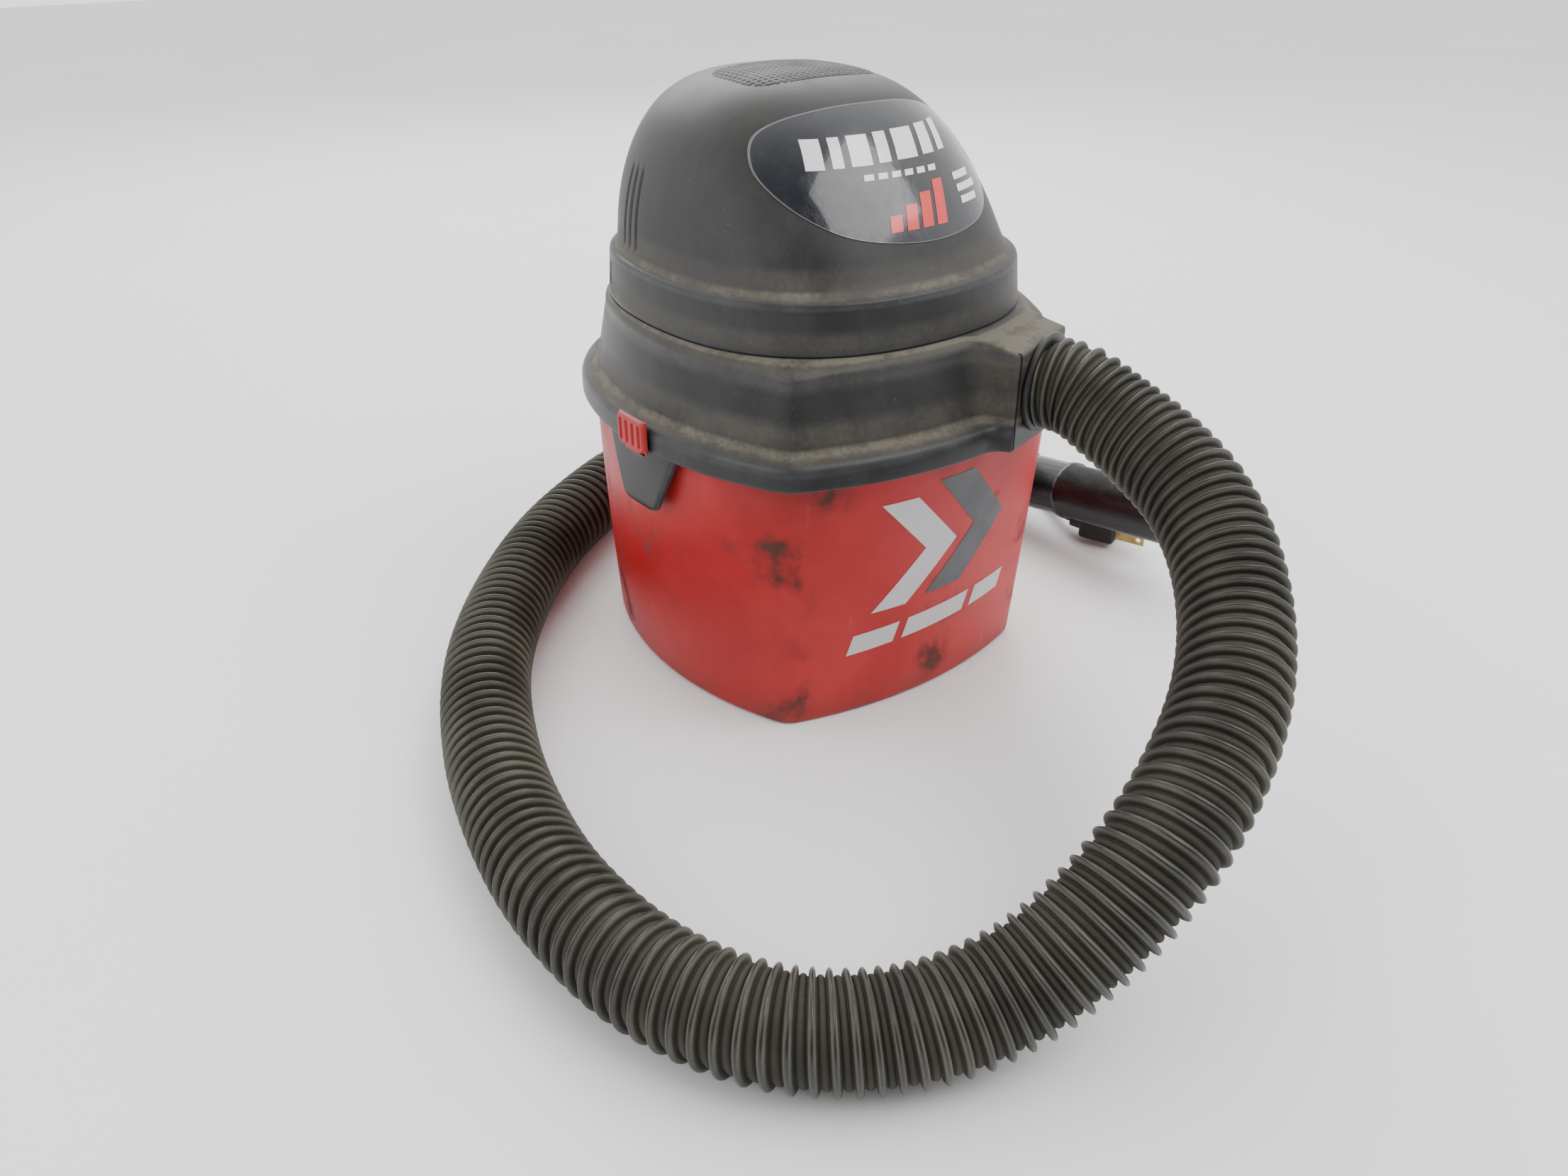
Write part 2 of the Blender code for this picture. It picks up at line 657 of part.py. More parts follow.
def build_armature():
    armature = turned("armature", ((12, 233), (19, 229), (21, 227), (21, 199), (19, 197), (12, 193),
                                   (SHAFT_R + 0.3, 193), (SHAFT_R + 0.3, 233)), "laminations",
                      steps=24, ring=True)
    baked(armature)
    pitch = 360 / SEGMENTS
    slots = [block_mesh("slot", (4, 1.6, 28), turned_by(pitch * i) @ at(20.5, 0, 213))
             for i in range(SEGMENTS)]
    cut(armature, merged("slots", slots))
    bore = SHAFT_R + 0.3
    commutator = turned("commutator", ((11, 246.5), (11, 236), (12.5, 235.5), (12.5, 234), (bore, 234),
                                       (bore, 246.5)), "copper", steps=24, ring=True)
    baked(commutator)
    gaps = [block_mesh("gap", (1.2, 0.6, 9), turned_by(pitch * (i + 0.5)) @ at(11, 0, 242))
            for i in range(SEGMENTS)]
    cut(commutator, merged("gaps", gaps))


def build_stator():
    stack = block_mesh("stator", (66, 66, 28), at(0, 0, 213), 8.0, 3)
    stator = make_object("stator", stack, "laminations")
    cut(stator, rod_mesh("bore", 22.3, 60, at(0, 0, 190), 36))
    for x in (-1, 1):
        cut(stator, block_mesh("slot", (10, 24, 60), at(x * 24.5, 0, 213)))
    for word, low in (("lower", 192.2), ("upper", 227.3)):
        profile = ((27.5, low + 6), (28.5, low + 5), (28.5, low + 1), (27.5, low),
                   (24.5, low), (23.5, low + 1), (23.5, low + 5), (24.5, low + 6))
        turned("field_coil_" + word, profile, "copper", steps=24, ring=True)


def build_brushes():
    for side, word in ((-1, "left"), (1, "right")):
        brush = block_mesh("brush_" + word, (15, 5, 6), at(side * (11.4 + 7.5), 0, 241.5))
        make_object("brush_" + word, brush, "carbon", smooth=False)
        holder = block_mesh("brush_holder_" + word, (16, 8.4, 9.4), at(side * 23, 0, 241.5), 0.5)
        holder = make_object("brush_holder_" + word, holder, "brass")
        cut(holder, block_mesh("channel", (30, 5.6, 6.6), at(side * 23, 0, 241.5)))


def build_bracket():
    """The arch over the stator that carries the upper bearing and the brush holders."""
    beam = block_mesh("upper_bracket", (24, 66, 4.6), at(0, 0, 252.6), 0.8)
    bracket = make_object("upper_bracket", beam, "cage_grey")
    for y in (-1, 1):
        join(bracket, block_mesh("leg", (16, 4, 27), at(0, y * 31, 240.8), 0.6))
    cut(bracket, rod_mesh("seat", 8.3, 20, at(0, 0, 245), 24))
    for i, y in enumerate((-1, 1), 1):
        cut(bracket, rod_mesh("hole", 2.1, 30, at(0, y * 26, 240), 12))
        screw("bracket_screw_%d" % i, at(0, y * 26, 255.2) @ Matrix.Rotation(math.pi, 4, "X"), 1.7, 8)


# ---------------------------------------------------------------- motor housing

def dome_ring(angle, inset):
    """A ring of the dome: a rounded profile whose centre leans back as it rises."""
    rise = math.sin(angle) ** DOME_POWER_Z
    z = BAND_TOP_Z + (DOME_TOP_Z - BAND_TOP_Z) * rise
    scale = DOME_FOOT * max(0.0, math.cos(angle)) ** DOME_POWER_R
    shift = 0.9 + DOME_LEAN * rise ** DOME_LEAN_POWER
    drop = inset * math.sin(angle)
    return seam_points(scale, inset * math.cos(angle) ** 0.5, shift, z - drop)


def housing_rings():
    low = SEAM_Z + GAP / MM
    outer = [seam_points(1, 0.4, 0, low), seam_points(1, 0, 0, low + 0.6),
             seam_points(BAND_TAPER, 0, 0.5, BAND_TOP_Z - 1.8),
             seam_points(BAND_TAPER, 0.9, 0.5, BAND_TOP_Z - 0.4),
             seam_points(BAND_TAPER, 2.4, 0.7, BAND_TOP_Z)]
    first, last = math.radians(13), math.radians(88.5)
    angles = [first + (last - first) * (i / DOME_RINGS) ** 0.85 for i in range(DOME_RINGS + 1)]
    outer += [dome_ring(a, 0) for a in angles]
    inner = [dome_ring(a, DOME_WALL) for a in reversed(angles[:-1])]
    inner += [seam_points(BAND_TAPER, DOME_WALL + 2, 0.7, BAND_TOP_Z - DOME_WALL),
              seam_points(1, DOME_WALL, 0, low)]
    return outer, inner


SWITCH_Z = 228
SWITCH_FACE = 95.5
TOP_VENT_ROWS = (2, 8, 14, 20, 26, 32, 38)
SIDE_SLOT_AZIMUTHS = (112, 118, 124, 236, 242, 248)
SIDE_SLOT_Z = 193


def build_housing():
    outer, inner = housing_rings()
    shell = ring_mesh("motor_housing", list(reversed(outer)) + list(reversed(inner)))
    housing = make_object("motor_housing", shell, "housing_black")
    join(housing, block_mesh("pad", (34, 9, 26), at(0, SWITCH_FACE - 4.5, SWITCH_Z), 2.0))
    for azimuth in HOUSING_SCREW_AZIMUTHS:
        join(housing, rod_mesh("boss", 5.5, 16, facing(azimuth, HOUSING_SCREW_R, 0, SEAM_Z + 1.2), 16))
    cut(housing, merged("holes", [rod_mesh("hole", 1.9, 12, facing(a, HOUSING_SCREW_R, 0, SEAM_Z - 1), 12)
                                  for a in HOUSING_SCREW_AZIMUTHS]))
    cut(housing, block_mesh("switch_hole", (22.6, 30, 15.6), at(0, SWITCH_FACE - 4, SWITCH_Z)))
    cut(housing, rod_mesh("cord_hole", 5.3, 40, along((0, 1, 0), Vector((0, 70, RELIEF_Z)) * MM), 20))
    vents = [block_mesh("vent", (46, 2.4, 40), at(0, y, 280)) for y in TOP_VENT_ROWS]
    cut(housing, merged("vents", vents))
    slots = [block_mesh("slot", (3, 30, 11), facing(a, 95, 0, SIDE_SLOT_Z)) for a in SIDE_SLOT_AZIMUTHS]
    cut(housing, merged("slots", slots))
    housing.data.shade_smooth()
    housing.data.set_sharp_from_angle(angle=math.radians(35))
    for i, azimuth in enumerate(HOUSING_SCREW_AZIMUTHS, 1):
        screw("housing_screw_%d" % i, facing(azimuth, HOUSING_SCREW_R, 0, DECK_Z - GAP / MM), 1.6, 46)


def build_switch():
    body = block_mesh("switch_bezel", (22, 22, 15), at(0, SWITCH_FACE - 10.6, SWITCH_Z))
    body = make_object("switch_bezel", body, "switch_black")
    join(body, block_mesh("rim", (29, 2, 21), at(0, SWITCH_FACE + 1.3, SWITCH_Z), 0.7))
    cut(body, block_mesh("mouth", (18, 12, 11.6), at(0, SWITCH_FACE, SWITCH_Z)))
    bm = bmesh.new()
    bmesh.ops.create_cube(bm, size=1.0)
    bmesh.ops.scale(bm, vec=Vector((17, 5, 10.2)) * MM, verts=bm.verts)
    bmesh.ops.bevel(bm, geom=bm.edges, offset=0.5 * MM, segments=2, affect="EDGES", profile=0.5)
    rocker = make_object("switch_rocker", mesh_from(bm, "switch_rocker"), "switch_black")
    rocker.location = Vector((0, SWITCH_FACE + 0.6, SWITCH_Z)) * MM
    rocker.rotation_euler = (math.radians(-8), 0, 0)


def build_strain_relief():
    place = along((0, 1, 0), Vector((0, 0, RELIEF_Z)) * MM)
    turned("strain_relief", ((0, RELIEF_TIP_Y), (4.3, RELIEF_TIP_Y), (5.2, 118), (6.3, 100.6), (8.2, 100),
                             (8.2, 97.4), (5, 97.4), (5, 86), (0, 86)), "cord_black", place, 20)


# ---------------------------------------------------------------- hose, wand and cord

def build_hose():
    middle = sum(BOSS_SIDE) / 2
    place = boss_place(middle, 0, BORE_Z) @ Matrix.Rotation(math.radians(90), 4, "X")
    turned("hose_cuff", ((20, 5.2), (20.5, 4.6), (20.5, 3.6), (22.6, 3), (22.6, 0.6), (22, 0.3),
                         (BORE_R - 0.3, 0.3), (BORE_R - 0.6, -CUFF_DEPTH), (13.2, -CUFF_DEPTH), (13.2, 5.2)),
           "cuff_black", place, 24, ring=True)
    route = smooth_route(HOSE_POINTS, HOSE_STEP)
    tube("hose", route, HOSE_R, "hose_black", 3)
    end = Vector(HOSE_POINTS[-1]) + WAND_AIM * 0.3 * MM
    place = along(WAND_AIM, end)
    cuff = END_CUFF_LENGTH
    turned("hose_end_cuff", ((WAND_R + 2.4, cuff), (WAND_R + 2.4, cuff - 3), (WAND_R + 3.4, cuff - 4),
                             (WAND_R + 3.4, 2), (WAND_R + 2.4, 0), (12, 0), (12, 14), (WAND_R + 0.3, 14),
                             (WAND_R + 0.3, cuff)), "gloss_black", place, 24, ring=True)
    inner = WAND_R - WAND_WALL
    far = 14.3 + WAND_LENGTH
    turned("wand", ((WAND_R - 0.4, far), (WAND_R, far - 0.8), (WAND_R, 86), (WAND_R + 1.1, 85.2),
                    (WAND_R + 1.1, 81.8), (WAND_R, 81), (WAND_R, 14.3), (inner, 14.3), (inner, far)),
           "gloss_black", place, 24, ring=True)


def build_cord():
    tube("cord_from_head", smooth_route(CORD_FROM_HEAD, 0.014), CORD_R, "cord_black", 2)
    turned("cord_coil", ((COIL_OUTER, COIL_HEIGHT), (COIL_OUTER, 0), (COIL_INNER, 0),
                         (COIL_INNER, COIL_HEIGHT)),
           "cord_black", Matrix.Translation((*COIL_CENTRE, 0.0)), 28, ring=True)
    tube("cord_to_plug", smooth_route(CORD_TO_PLUG, 0.016), CORD_R, "cord_black", 2)
    build_plug()


def build_plug():
    """A flat two-blade plug lying on the floor, with its blades pointing forwards."""
    place = along(PLUG_AIM, PLUG_REAR)
    body = make_object("plug_body", block_mesh("plug_body", (21, 13.5, 22), place @ at(0, 0, 19.3), 2.0),
                       "cord_black")
    join(body, rod_mesh("neck", 5.2, 12, place @ at(0, 0, 0.3), 20, 6.2))
    for side, word in ((-1, "left"), (1, "right")):
        x, foot = side * BLADE_SPACING / 2, 30.7
        blade = block_mesh("plug_blade_" + word, (1.5, 6.3, 17.5), place @ at(x, 0, foot + 8.75), 0.3, 1)
        blade = make_object("plug_blade_" + word, blade, "brass")
        cut(blade, rod_mesh("hole", 1.5, 30, place @ at(x - 15, 0, foot + 14) @ TO_X, 12))


# ---------------------------------------------------------------- finishes and assembly

def make_finishes():
    table = {
        "tank_red": ((0.55, 0.035, 0.03), 0.45, 0.0),
        "latch_red": ((0.58, 0.04, 0.03), 0.4, 0.0),
        "lid_black": ((0.045, 0.042, 0.038), 0.6, 0.0),
        "housing_black": ((0.04, 0.038, 0.036), 0.55, 0.0),
        "cuff_black": ((0.05, 0.047, 0.04), 0.6, 0.0),
        "hose_black": ((0.06, 0.054, 0.042), 0.65, 0.0),
        "gloss_black": ((0.012, 0.012, 0.014), 0.15, 0.0),
        "cord_black": ((0.02, 0.02, 0.02), 0.5, 0.0),
        "switch_black": ((0.015, 0.015, 0.015), 0.35, 0.0),
        "gasket": ((0.03, 0.03, 0.03), 0.8, 0.0),
        "cage_grey": ((0.12, 0.12, 0.12), 0.5, 0.0),
        "fan_plastic": ((0.35, 0.33, 0.28), 0.5, 0.0),
        "float_white": ((0.75, 0.74, 0.7), 0.4, 0.0),
        "foam": ((0.09, 0.09, 0.095), 0.95, 0.0),
        "steel": ((0.6, 0.6, 0.62), 0.3, 1.0),
        "aluminium": ((0.7, 0.7, 0.72), 0.35, 1.0),
        "copper": ((0.65, 0.3, 0.16), 0.35, 1.0),
        "brass": ((0.62, 0.5, 0.22), 0.4, 1.0),
        "laminations": ((0.3, 0.3, 0.32), 0.5, 1.0),
        "carbon": ((0.05, 0.05, 0.05), 0.7, 0.0),
    }
    return {name: material(name, *values) for name, values in table.items()}


clear_scene()
FINISHES = make_finishes()
build_tank()
build_gasket()
build_lid()
build_latch(-1, "left")
build_latch(1, "right")
build_float_cage()
build_sleeve()
build_fan()
build_motor()
build_housing()
build_switch()
build_strain_relief()
build_hose()
build_cord()
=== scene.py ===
"""Looks of a small wet and dry vacuum: its shells, ribbed hose, mains cord, decals and materials.

+Z is up, the front faces -Y and the origin is under the middle of the tank.
"""
from math import cos, exp, pi, radians, sin, sqrt

import bmesh
import bpy
import numpy as np
from mathutils import Matrix, Vector
from mathutils.bvhtree import BVHTree


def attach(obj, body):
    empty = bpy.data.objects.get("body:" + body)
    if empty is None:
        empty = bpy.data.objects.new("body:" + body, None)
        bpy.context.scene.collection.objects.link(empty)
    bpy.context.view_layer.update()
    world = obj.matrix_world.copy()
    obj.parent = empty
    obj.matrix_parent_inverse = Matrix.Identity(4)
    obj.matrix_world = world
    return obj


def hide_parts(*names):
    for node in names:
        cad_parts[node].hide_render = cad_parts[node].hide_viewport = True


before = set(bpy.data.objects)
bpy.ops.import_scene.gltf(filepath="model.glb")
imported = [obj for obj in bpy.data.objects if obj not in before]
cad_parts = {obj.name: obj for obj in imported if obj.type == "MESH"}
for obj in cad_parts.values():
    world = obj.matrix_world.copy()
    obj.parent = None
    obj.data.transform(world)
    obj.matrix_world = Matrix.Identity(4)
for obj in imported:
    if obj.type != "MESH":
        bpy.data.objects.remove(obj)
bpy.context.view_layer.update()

MM = 0.001


def set_all(thing, **settings):
    """Set a thing's named properties and give it back."""
    for key, value in settings.items():
        setattr(thing, key, value)
    return thing


# ---- node trees

class Nodes:
    """A small builder for the node tree of a material or a world."""

    def __init__(self, owner):
        owner.use_nodes = True
        self.owner = owner
        self.tree = owner.node_tree
        self.place = self.tree.nodes.new("ShaderNodeTexCoord").outputs

    def fill(self, socket, value):
        """Link an output to a socket or set its fixed value; a colour has three numbers."""
        if isinstance(value, bpy.types.NodeSocket):
            self.tree.links.new(value, socket)
        else:
            socket.default_value = (*value, 1.0) if socket.type == "RGBA" else value

    def node(self, kind, inputs=(), output=0, **settings):
        """One output of a new node, with its inputs given by name or number, or in order."""
        made = set_all(self.tree.nodes.new(kind), **settings)
        for key, value in inputs.items() if isinstance(inputs, dict) else enumerate(inputs):
            self.fill(made.inputs[key], value)
        return made.outputs[output]

    def times(self, a, b, clamp=False):
        return self.node("ShaderNodeMath", (a, b), operation="MULTIPLY", use_clamp=clamp)

    def plus(self, a, b, clamp=False):
        return self.node("ShaderNodeMath", (a, b), operation="ADD", use_clamp=clamp)

    def span(self, value, low, high, to_low=0.0, to_high=1.0):
        """A smooth step of a value from one range to another."""
        return self.node("ShaderNodeMapRange", (value, low, high, to_low, to_high),
                         interpolation_type="SMOOTHSTEP")

    def noise(self, scale, detail=4.0, rough=0.55, stretch=None, twist=0.0):
        """Noise over the piece's own space, in metres."""
        where = self.place["Object"]
        if stretch is not None:
            where = self.node("ShaderNodeMapping", {"Vector": where, "Scale": stretch})
        given = {"Vector": where, "Scale": scale, "Detail": detail, "Roughness": rough, "Distortion": twist}
        return self.node("ShaderNodeTexNoise", given, "Fac")

    def height_of(self, output):
        return self.node("ShaderNodeSeparateXYZ", (self.place[output],), 2)

    def upward(self, low=0.25, high=0.95):
        """1 where the surface faces up, 0 where it is upright or faces down."""
        return self.span(self.height_of("Normal"), low, high)

    def band(self, height, low, high):
        """1 within a band of height, soft at its two ends."""
        soft = 0.4 * (high - low)
        return self.times(self.span(height, low, low + soft), self.span(height, high, high - soft))

    def edge(self, low, high):
        """1 on sharp outward edges."""
        return self.span(self.node("ShaderNodeNewGeometry", output="Pointiness"), low, high)

    def mix(self, share, a, b):
        return self.node("ShaderNodeMix", {"Factor": share, 6: a, 7: b}, 2, data_type="RGBA")

    def bump(self, height, strength, depth, before=None):
        given = {"Strength": strength, "Distance": depth, "Height": height}
        if before is not None:
            given["Normal"] = before
        return self.node("ShaderNodeBump", given)

    def bumps(self, *layers):
        """Fine bumps over each other, each of a noise's scale and roughness, a strength and a depth."""
        normal = None
        for scale, rough, strength, depth in layers:
            normal = self.bump(self.noise(scale, 3, rough), strength, depth, normal)
        return normal

    def done(self, colour, rough, normal=None, metallic=0.0, **fixed):
        """Fill the material's shader and give the material back."""
        given = {"Base Color": colour, "Roughness": rough, "Metallic": metallic}
        if normal is not None:
            given["Normal"] = normal
        given.update((key.replace("_", " "), value) for key, value in fixed.items())
        for key, value in given.items():
            self.fill(self.tree.nodes["Principled BSDF"].inputs[key], value)
        return self.owner


# ---- materials

HAZE = (0.052, 0.052, 0.053)
# Bluish tint of the painted highlight on rubbed edges.
RUB_HIGHLIGHT_TINT = (0.04, 0.043, 0.05)
SPECK = (0.2, 0.18, 0.14)
RUST = (0.16, 0.07, 0.03)
FILM_DUST = (0.14, 0.12, 0.09)
RUBBER_DUST = (0.14, 0.12, 0.085)
FOAM_DIRT = (0.16, 0.12, 0.08)


def dusty_plastic(n, base, dust, settled, film, rough, grain, bands=(), spots=(), rub_highlights=()):
    """Dark moulded plastic, hazy and dusty on ledges, in bands of height and in spots, with rubbed edges that
    also carry a painted highlight, lighter and bluer.
    """
    height = n.height_of("Object")
    blotches = n.noise(55, 5, 0.65)
    clouds = n.times(n.span(n.noise(14, 5, 0.6, twist=0.4), 0.34, 0.68), film)
    streaks = n.times(n.span(n.noise(60, 4, 0.6, stretch=(1, 1, 0.12)), 0.5, 0.75), film * 0.5)
    haze = n.plus(clouds, streaks, clamp=True)
    colour = n.mix(haze, base, HAZE)
    level = n.times(n.upward(), settled)
    for low, high, amount in bands:
        level = n.plus(level, n.times(n.band(height, low, high), amount))
    for middle, reach, amount in spots:
        away = n.node("ShaderNodeVectorMath", (n.place["Object"], middle), "Value", operation="DISTANCE")
        level = n.plus(level, n.times(n.span(away, reach, reach * 0.4), amount))
    level = n.times(level, n.span(blotches, 0.3, 0.7, 0.4, 1.2))
    level = n.times(level, n.span(n.noise(420, 3, 0.7), 0.25, 0.7, 0.7, 1.1), clamp=True)
    # Sharp edges and the rub bands: real wear that clears the dust there, and also the mask of a painted
    # highlight.
    worn = n.edge(0.515, 0.57)
    for low, high, amount in rub_highlights:
        rub_highlight = n.times(n.band(height, low, high), amount)
        worn = n.node("ShaderNodeMath", (worn, rub_highlight), operation="MAXIMUM")
    level = n.times(level, n.span(worn, 0.0, 1.0, 1.0, 0.35), clamp=True)
    colour = n.mix(level, colour, dust)
    # Rubbed edges painted lighter and bluer: a painted highlight on top of the wear.
    rubbed = n.times(worn, n.span(blotches, 0.3, 0.7, 0.25, 0.9))
    colour = n.mix(rubbed, colour, tuple(c * 1.6 + tint for c, tint in zip(base, RUB_HIGHLIGHT_TINT)))
    specks = n.span(n.noise(700, 2, 0.5), 0.7, 0.78)
    colour = n.mix(n.times(specks, 0.35), colour, SPECK)
    dull = n.plus(n.plus(level, n.times(haze, 0.5)), n.times(rubbed, -0.3))
    roughness = n.span(dull, 0.0, 0.8, rough, min(0.92, rough + 0.36))
    normal = n.bumps((1500, 0.6, grain, 0.0002), (90, 0.5, 0.12, 0.0006))
    return n.done(colour, roughness, normal, Specular_IOR_Level=0.38)


def red_plastic(n, base, smudge):
    """Red polyethylene, faded and scuffed, with dark rubbed-in dirt and fine pale scratches."""
    dirt, foot_dirt = (0.085, 0.022, 0.018), (0.1, 0.045, 0.03)
    scratched, worn_edge, dust = (0.48, 0.13, 0.11), (0.48, 0.06, 0.05), (0.24, 0.17, 0.13)
    height = n.height_of("Object")
    clouds = n.noise(11, 5, 0.62, twist=0.5)
    grime = n.noise(34, 5, 0.6, twist=0.1)
    scuffs = n.noise(19, 5, 0.6, stretch=(1, 1, 0.45), twist=0.2)
    colour = n.mix(n.span(clouds, 0.35, 0.7), base, tuple(min(1.0, c * 1.2 + 0.012) for c in base))
    dirty = n.plus(n.span(grime, 0.5, 0.78), n.times(n.span(height, 0.085, 0.135), 0.25))
    dirty = n.times(dirty, n.times(n.span(scuffs, 0.42, 0.62), smudge), clamp=True)
    colour = n.mix(dirty, colour, dirt)
    foot = n.times(n.span(height, 0.022, 0.0), n.span(grime, 0.3, 0.7, 0.1, 0.45))
    colour = n.mix(foot, colour, foot_dirt)
    lines = n.noise(160, 2, 0.4, stretch=(1, 1, 0.04), twist=0.3)
    scratch = n.times(n.span(lines, 0.66, 0.72), n.span(n.noise(30, 3), 0.45, 0.65))
    colour = n.mix(n.times(scratch, 0.5), colour, scratched)
    colour = n.mix(n.times(n.edge(0.53, 0.6), 0.3), colour, worn_edge)
    colour = n.mix(n.times(n.upward(), 0.35), colour, dust)
    roughness = n.span(n.plus(dirty, n.times(clouds, 0.4)), 0.0, 1.0, 0.4, 0.66)
    normal = n.bumps((900, 0.6, 0.1, 0.0002), (35, 0.5, 0.1, 0.001))
    return n.done(colour, roughness, normal, Specular_IOR_Level=0.36)


def hose_plastic(n):
    """Ribbed hose: glossy ridge tops, a pale dust line beside them and olive dirt in the valleys."""
    rise = n.node("ShaderNodeAttribute", output="Fac", attribute_name="rise")
    patches = n.noise(22, 4, 0.6)
    fine = n.noise(520, 4, 0.7)
    valley = n.mix(n.span(patches, 0.3, 0.7), (0.02, 0.0175, 0.012), (0.046, 0.041, 0.029))
    line = n.mix(n.span(patches, 0.35, 0.7), (0.062, 0.06, 0.043), (0.135, 0.13, 0.093))
    crown = n.mix(n.span(patches, 0.3, 0.75), (0.0075, 0.008, 0.01), (0.022, 0.0225, 0.025))
    top = n.span(rise, 0.87, 0.95)
    colour = n.mix(top, n.mix(n.span(rise, 0.4, 0.74), valley, line), crown)
    dusting = n.times(n.upward(0.4, 1.0), n.span(fine, 0.35, 0.8, 0.02, 0.26))
    colour = n.mix(dusting, colour, (0.085, 0.078, 0.057))
    return n.done(colour, n.span(top, 0.0, 1.0, 0.78, 0.3), n.bump(fine, 0.22, 0.0003))


def gloss_plastic(n, base, rough, dust):
    """Shiny smeared plastic with a little dust on top."""
    film = n.times(n.upward(0.2, 1.0), n.span(n.noise(60, 5, 0.65), 0.4, 0.75, 0.0, dust))
    roughness = n.span(n.noise(45, 5, 0.7, twist=1.0), 0.35, 0.75, rough, rough + 0.16)
    return n.done(n.mix(film, base, FILM_DUST), roughness, n.bumps((240, 0.5, 0.05, 0.0002)),
                  Coat_Weight=0.12, Coat_Roughness=0.15, Specular_IOR_Level=0.4)


def label_film(n, base, patchy):
    """Printed glossy film, a little wrinkled where it follows the curve under it."""
    rubbed = n.span(n.noise(70, 5, 0.7), 0.55, 0.8, 0.0, patchy)
    colour = n.mix(rubbed, base, tuple(c * 0.5 + 0.1 for c in base))
    roughness = n.span(n.noise(120, 4, 0.6), 0.3, 0.75, 0.1, 0.3)
    wrinkles = n.bump(n.noise(45, 5, 0.6, stretch=(1.6, 1, 0.7)), 0.3, 0.0012)
    normal = n.bump(n.noise(260, 3, 0.5), 0.08, 0.0003, wrinkles)
    return n.done(colour, roughness, normal, Coat_Weight=0.6, Coat_Roughness=0.06)


def ink(n, base):
    """Flat printed ink on the tank, slightly worn."""
    worn = n.times(n.span(n.noise(90, 6, 0.75), 0.58, 0.75), 0.35)
    colour = n.mix(worn, base, tuple(c * 0.7 + 0.03 for c in base))
    return n.done(colour, n.span(n.noise(60, 4), 0.3, 0.7, 0.42, 0.58), n.bumps((500, 0.6, 0.08, 0.0002)))


def metal(n, base, rough, tarnish, stain, stretch=None):
    """Bare metal with tarnish in patches, drawn out where it was machined."""
    marks = n.noise(130, 6, 0.7, stretch=stretch)
    colour = n.mix(n.times(n.span(marks, 0.42, 0.72), stain), base, tarnish)
    roughness = n.span(marks, 0.3, 0.75, rough, min(0.9, rough + 0.28))
    normal = n.bump(n.noise(700, 3, 0.6, stretch=stretch), 0.12, 0.0002)
    return n.done(colour, roughness, normal, metallic=1.0)


def banded(n, scale, waver, groove, crest, rust, rough, strength, depth, metallic):
    """Enamelled wire laid side by side, or the edges of stacked sheets."""
    given = {"Vector": n.place["Object"], "Scale": scale, "Distortion": waver}
    layers = n.node("ShaderNodeTexWave", given, "Fac", wave_type="BANDS", bands_direction="Z")
    rusty = n.span(n.noise(90, 5, 0.7), 0.55, 0.75, 0.0, rust)
    colour = n.mix(rusty, n.mix(layers, groove, crest), RUST)
    return n.done(colour, rough, n.bump(layers, strength, depth), metallic=metallic)


def foam(n):
    """Open-celled foam, dirty in patches."""
    given = {"Vector": n.place["Object"], "Scale": 700}
    cells = n.node("ShaderNodeTexVoronoi", given, "Distance")
    colour = n.mix(n.span(cells, 0.1, 0.6), (0.025, 0.025, 0.028), (0.12, 0.12, 0.125))
    colour = n.mix(n.span(n.noise(40, 5), 0.45, 0.75, 0.0, 0.5), colour, FOAM_DIRT)
    return n.done(colour, 0.95, n.bump(cells, 0.8, 0.0008))


def soft_black(n, base, dust, rough):
    """Flexible black plastic or rubber with a little dust."""
    film = n.plus(n.times(n.upward(), 0.3), n.span(n.noise(60, 5, 0.65), 0.45, 0.8, 0.0, 0.45))
    colour = n.mix(n.times(film, dust, clamp=True), base, RUBBER_DUST)
    return n.done(colour, n.span(n.noise(70, 4), 0.3, 0.7, rough, rough + 0.2),
                  n.bumps((800, 0.6, 0.15, 0.0002)))


def pale_floor(n):
    clouds = n.span(n.noise(3, 4, 0.6), 0.35, 0.7)
    return n.done(n.mix(clouds, (0.94, 0.94, 0.945), (0.965, 0.965, 0.97)), 0.65)


# Bands of height in metres, each with its low end, its high end and an amount.
LID_DUST = ((0.1434, 0.1486, 0.85), (0.144, 0.161, 0.34), (0.169, 0.1835, 0.28), (0.1796, 0.1822, 0.9))
# The rub bands are worn edges that also get a painted highlight, lighter and bluer.
LID_RUB_HIGHLIGHTS = ((0.1378, 0.1438, 0.75), (0.1715, 0.1785, 0.55), (0.1312, 0.1336, 0.9))
HOUSING_DUST = ((0.203, 0.2078, 0.75), (0.2045, 0.217, 0.28), (0.181, 0.194, 0.34))
HOUSING_RUB_HIGHLIGHTS = ((0.2, 0.2036, 0.9),)
# A round spot: its middle, its reach and an amount.
BOSS_DUST = (((0.046, -0.1, 0.172), 0.042, 0.55),)

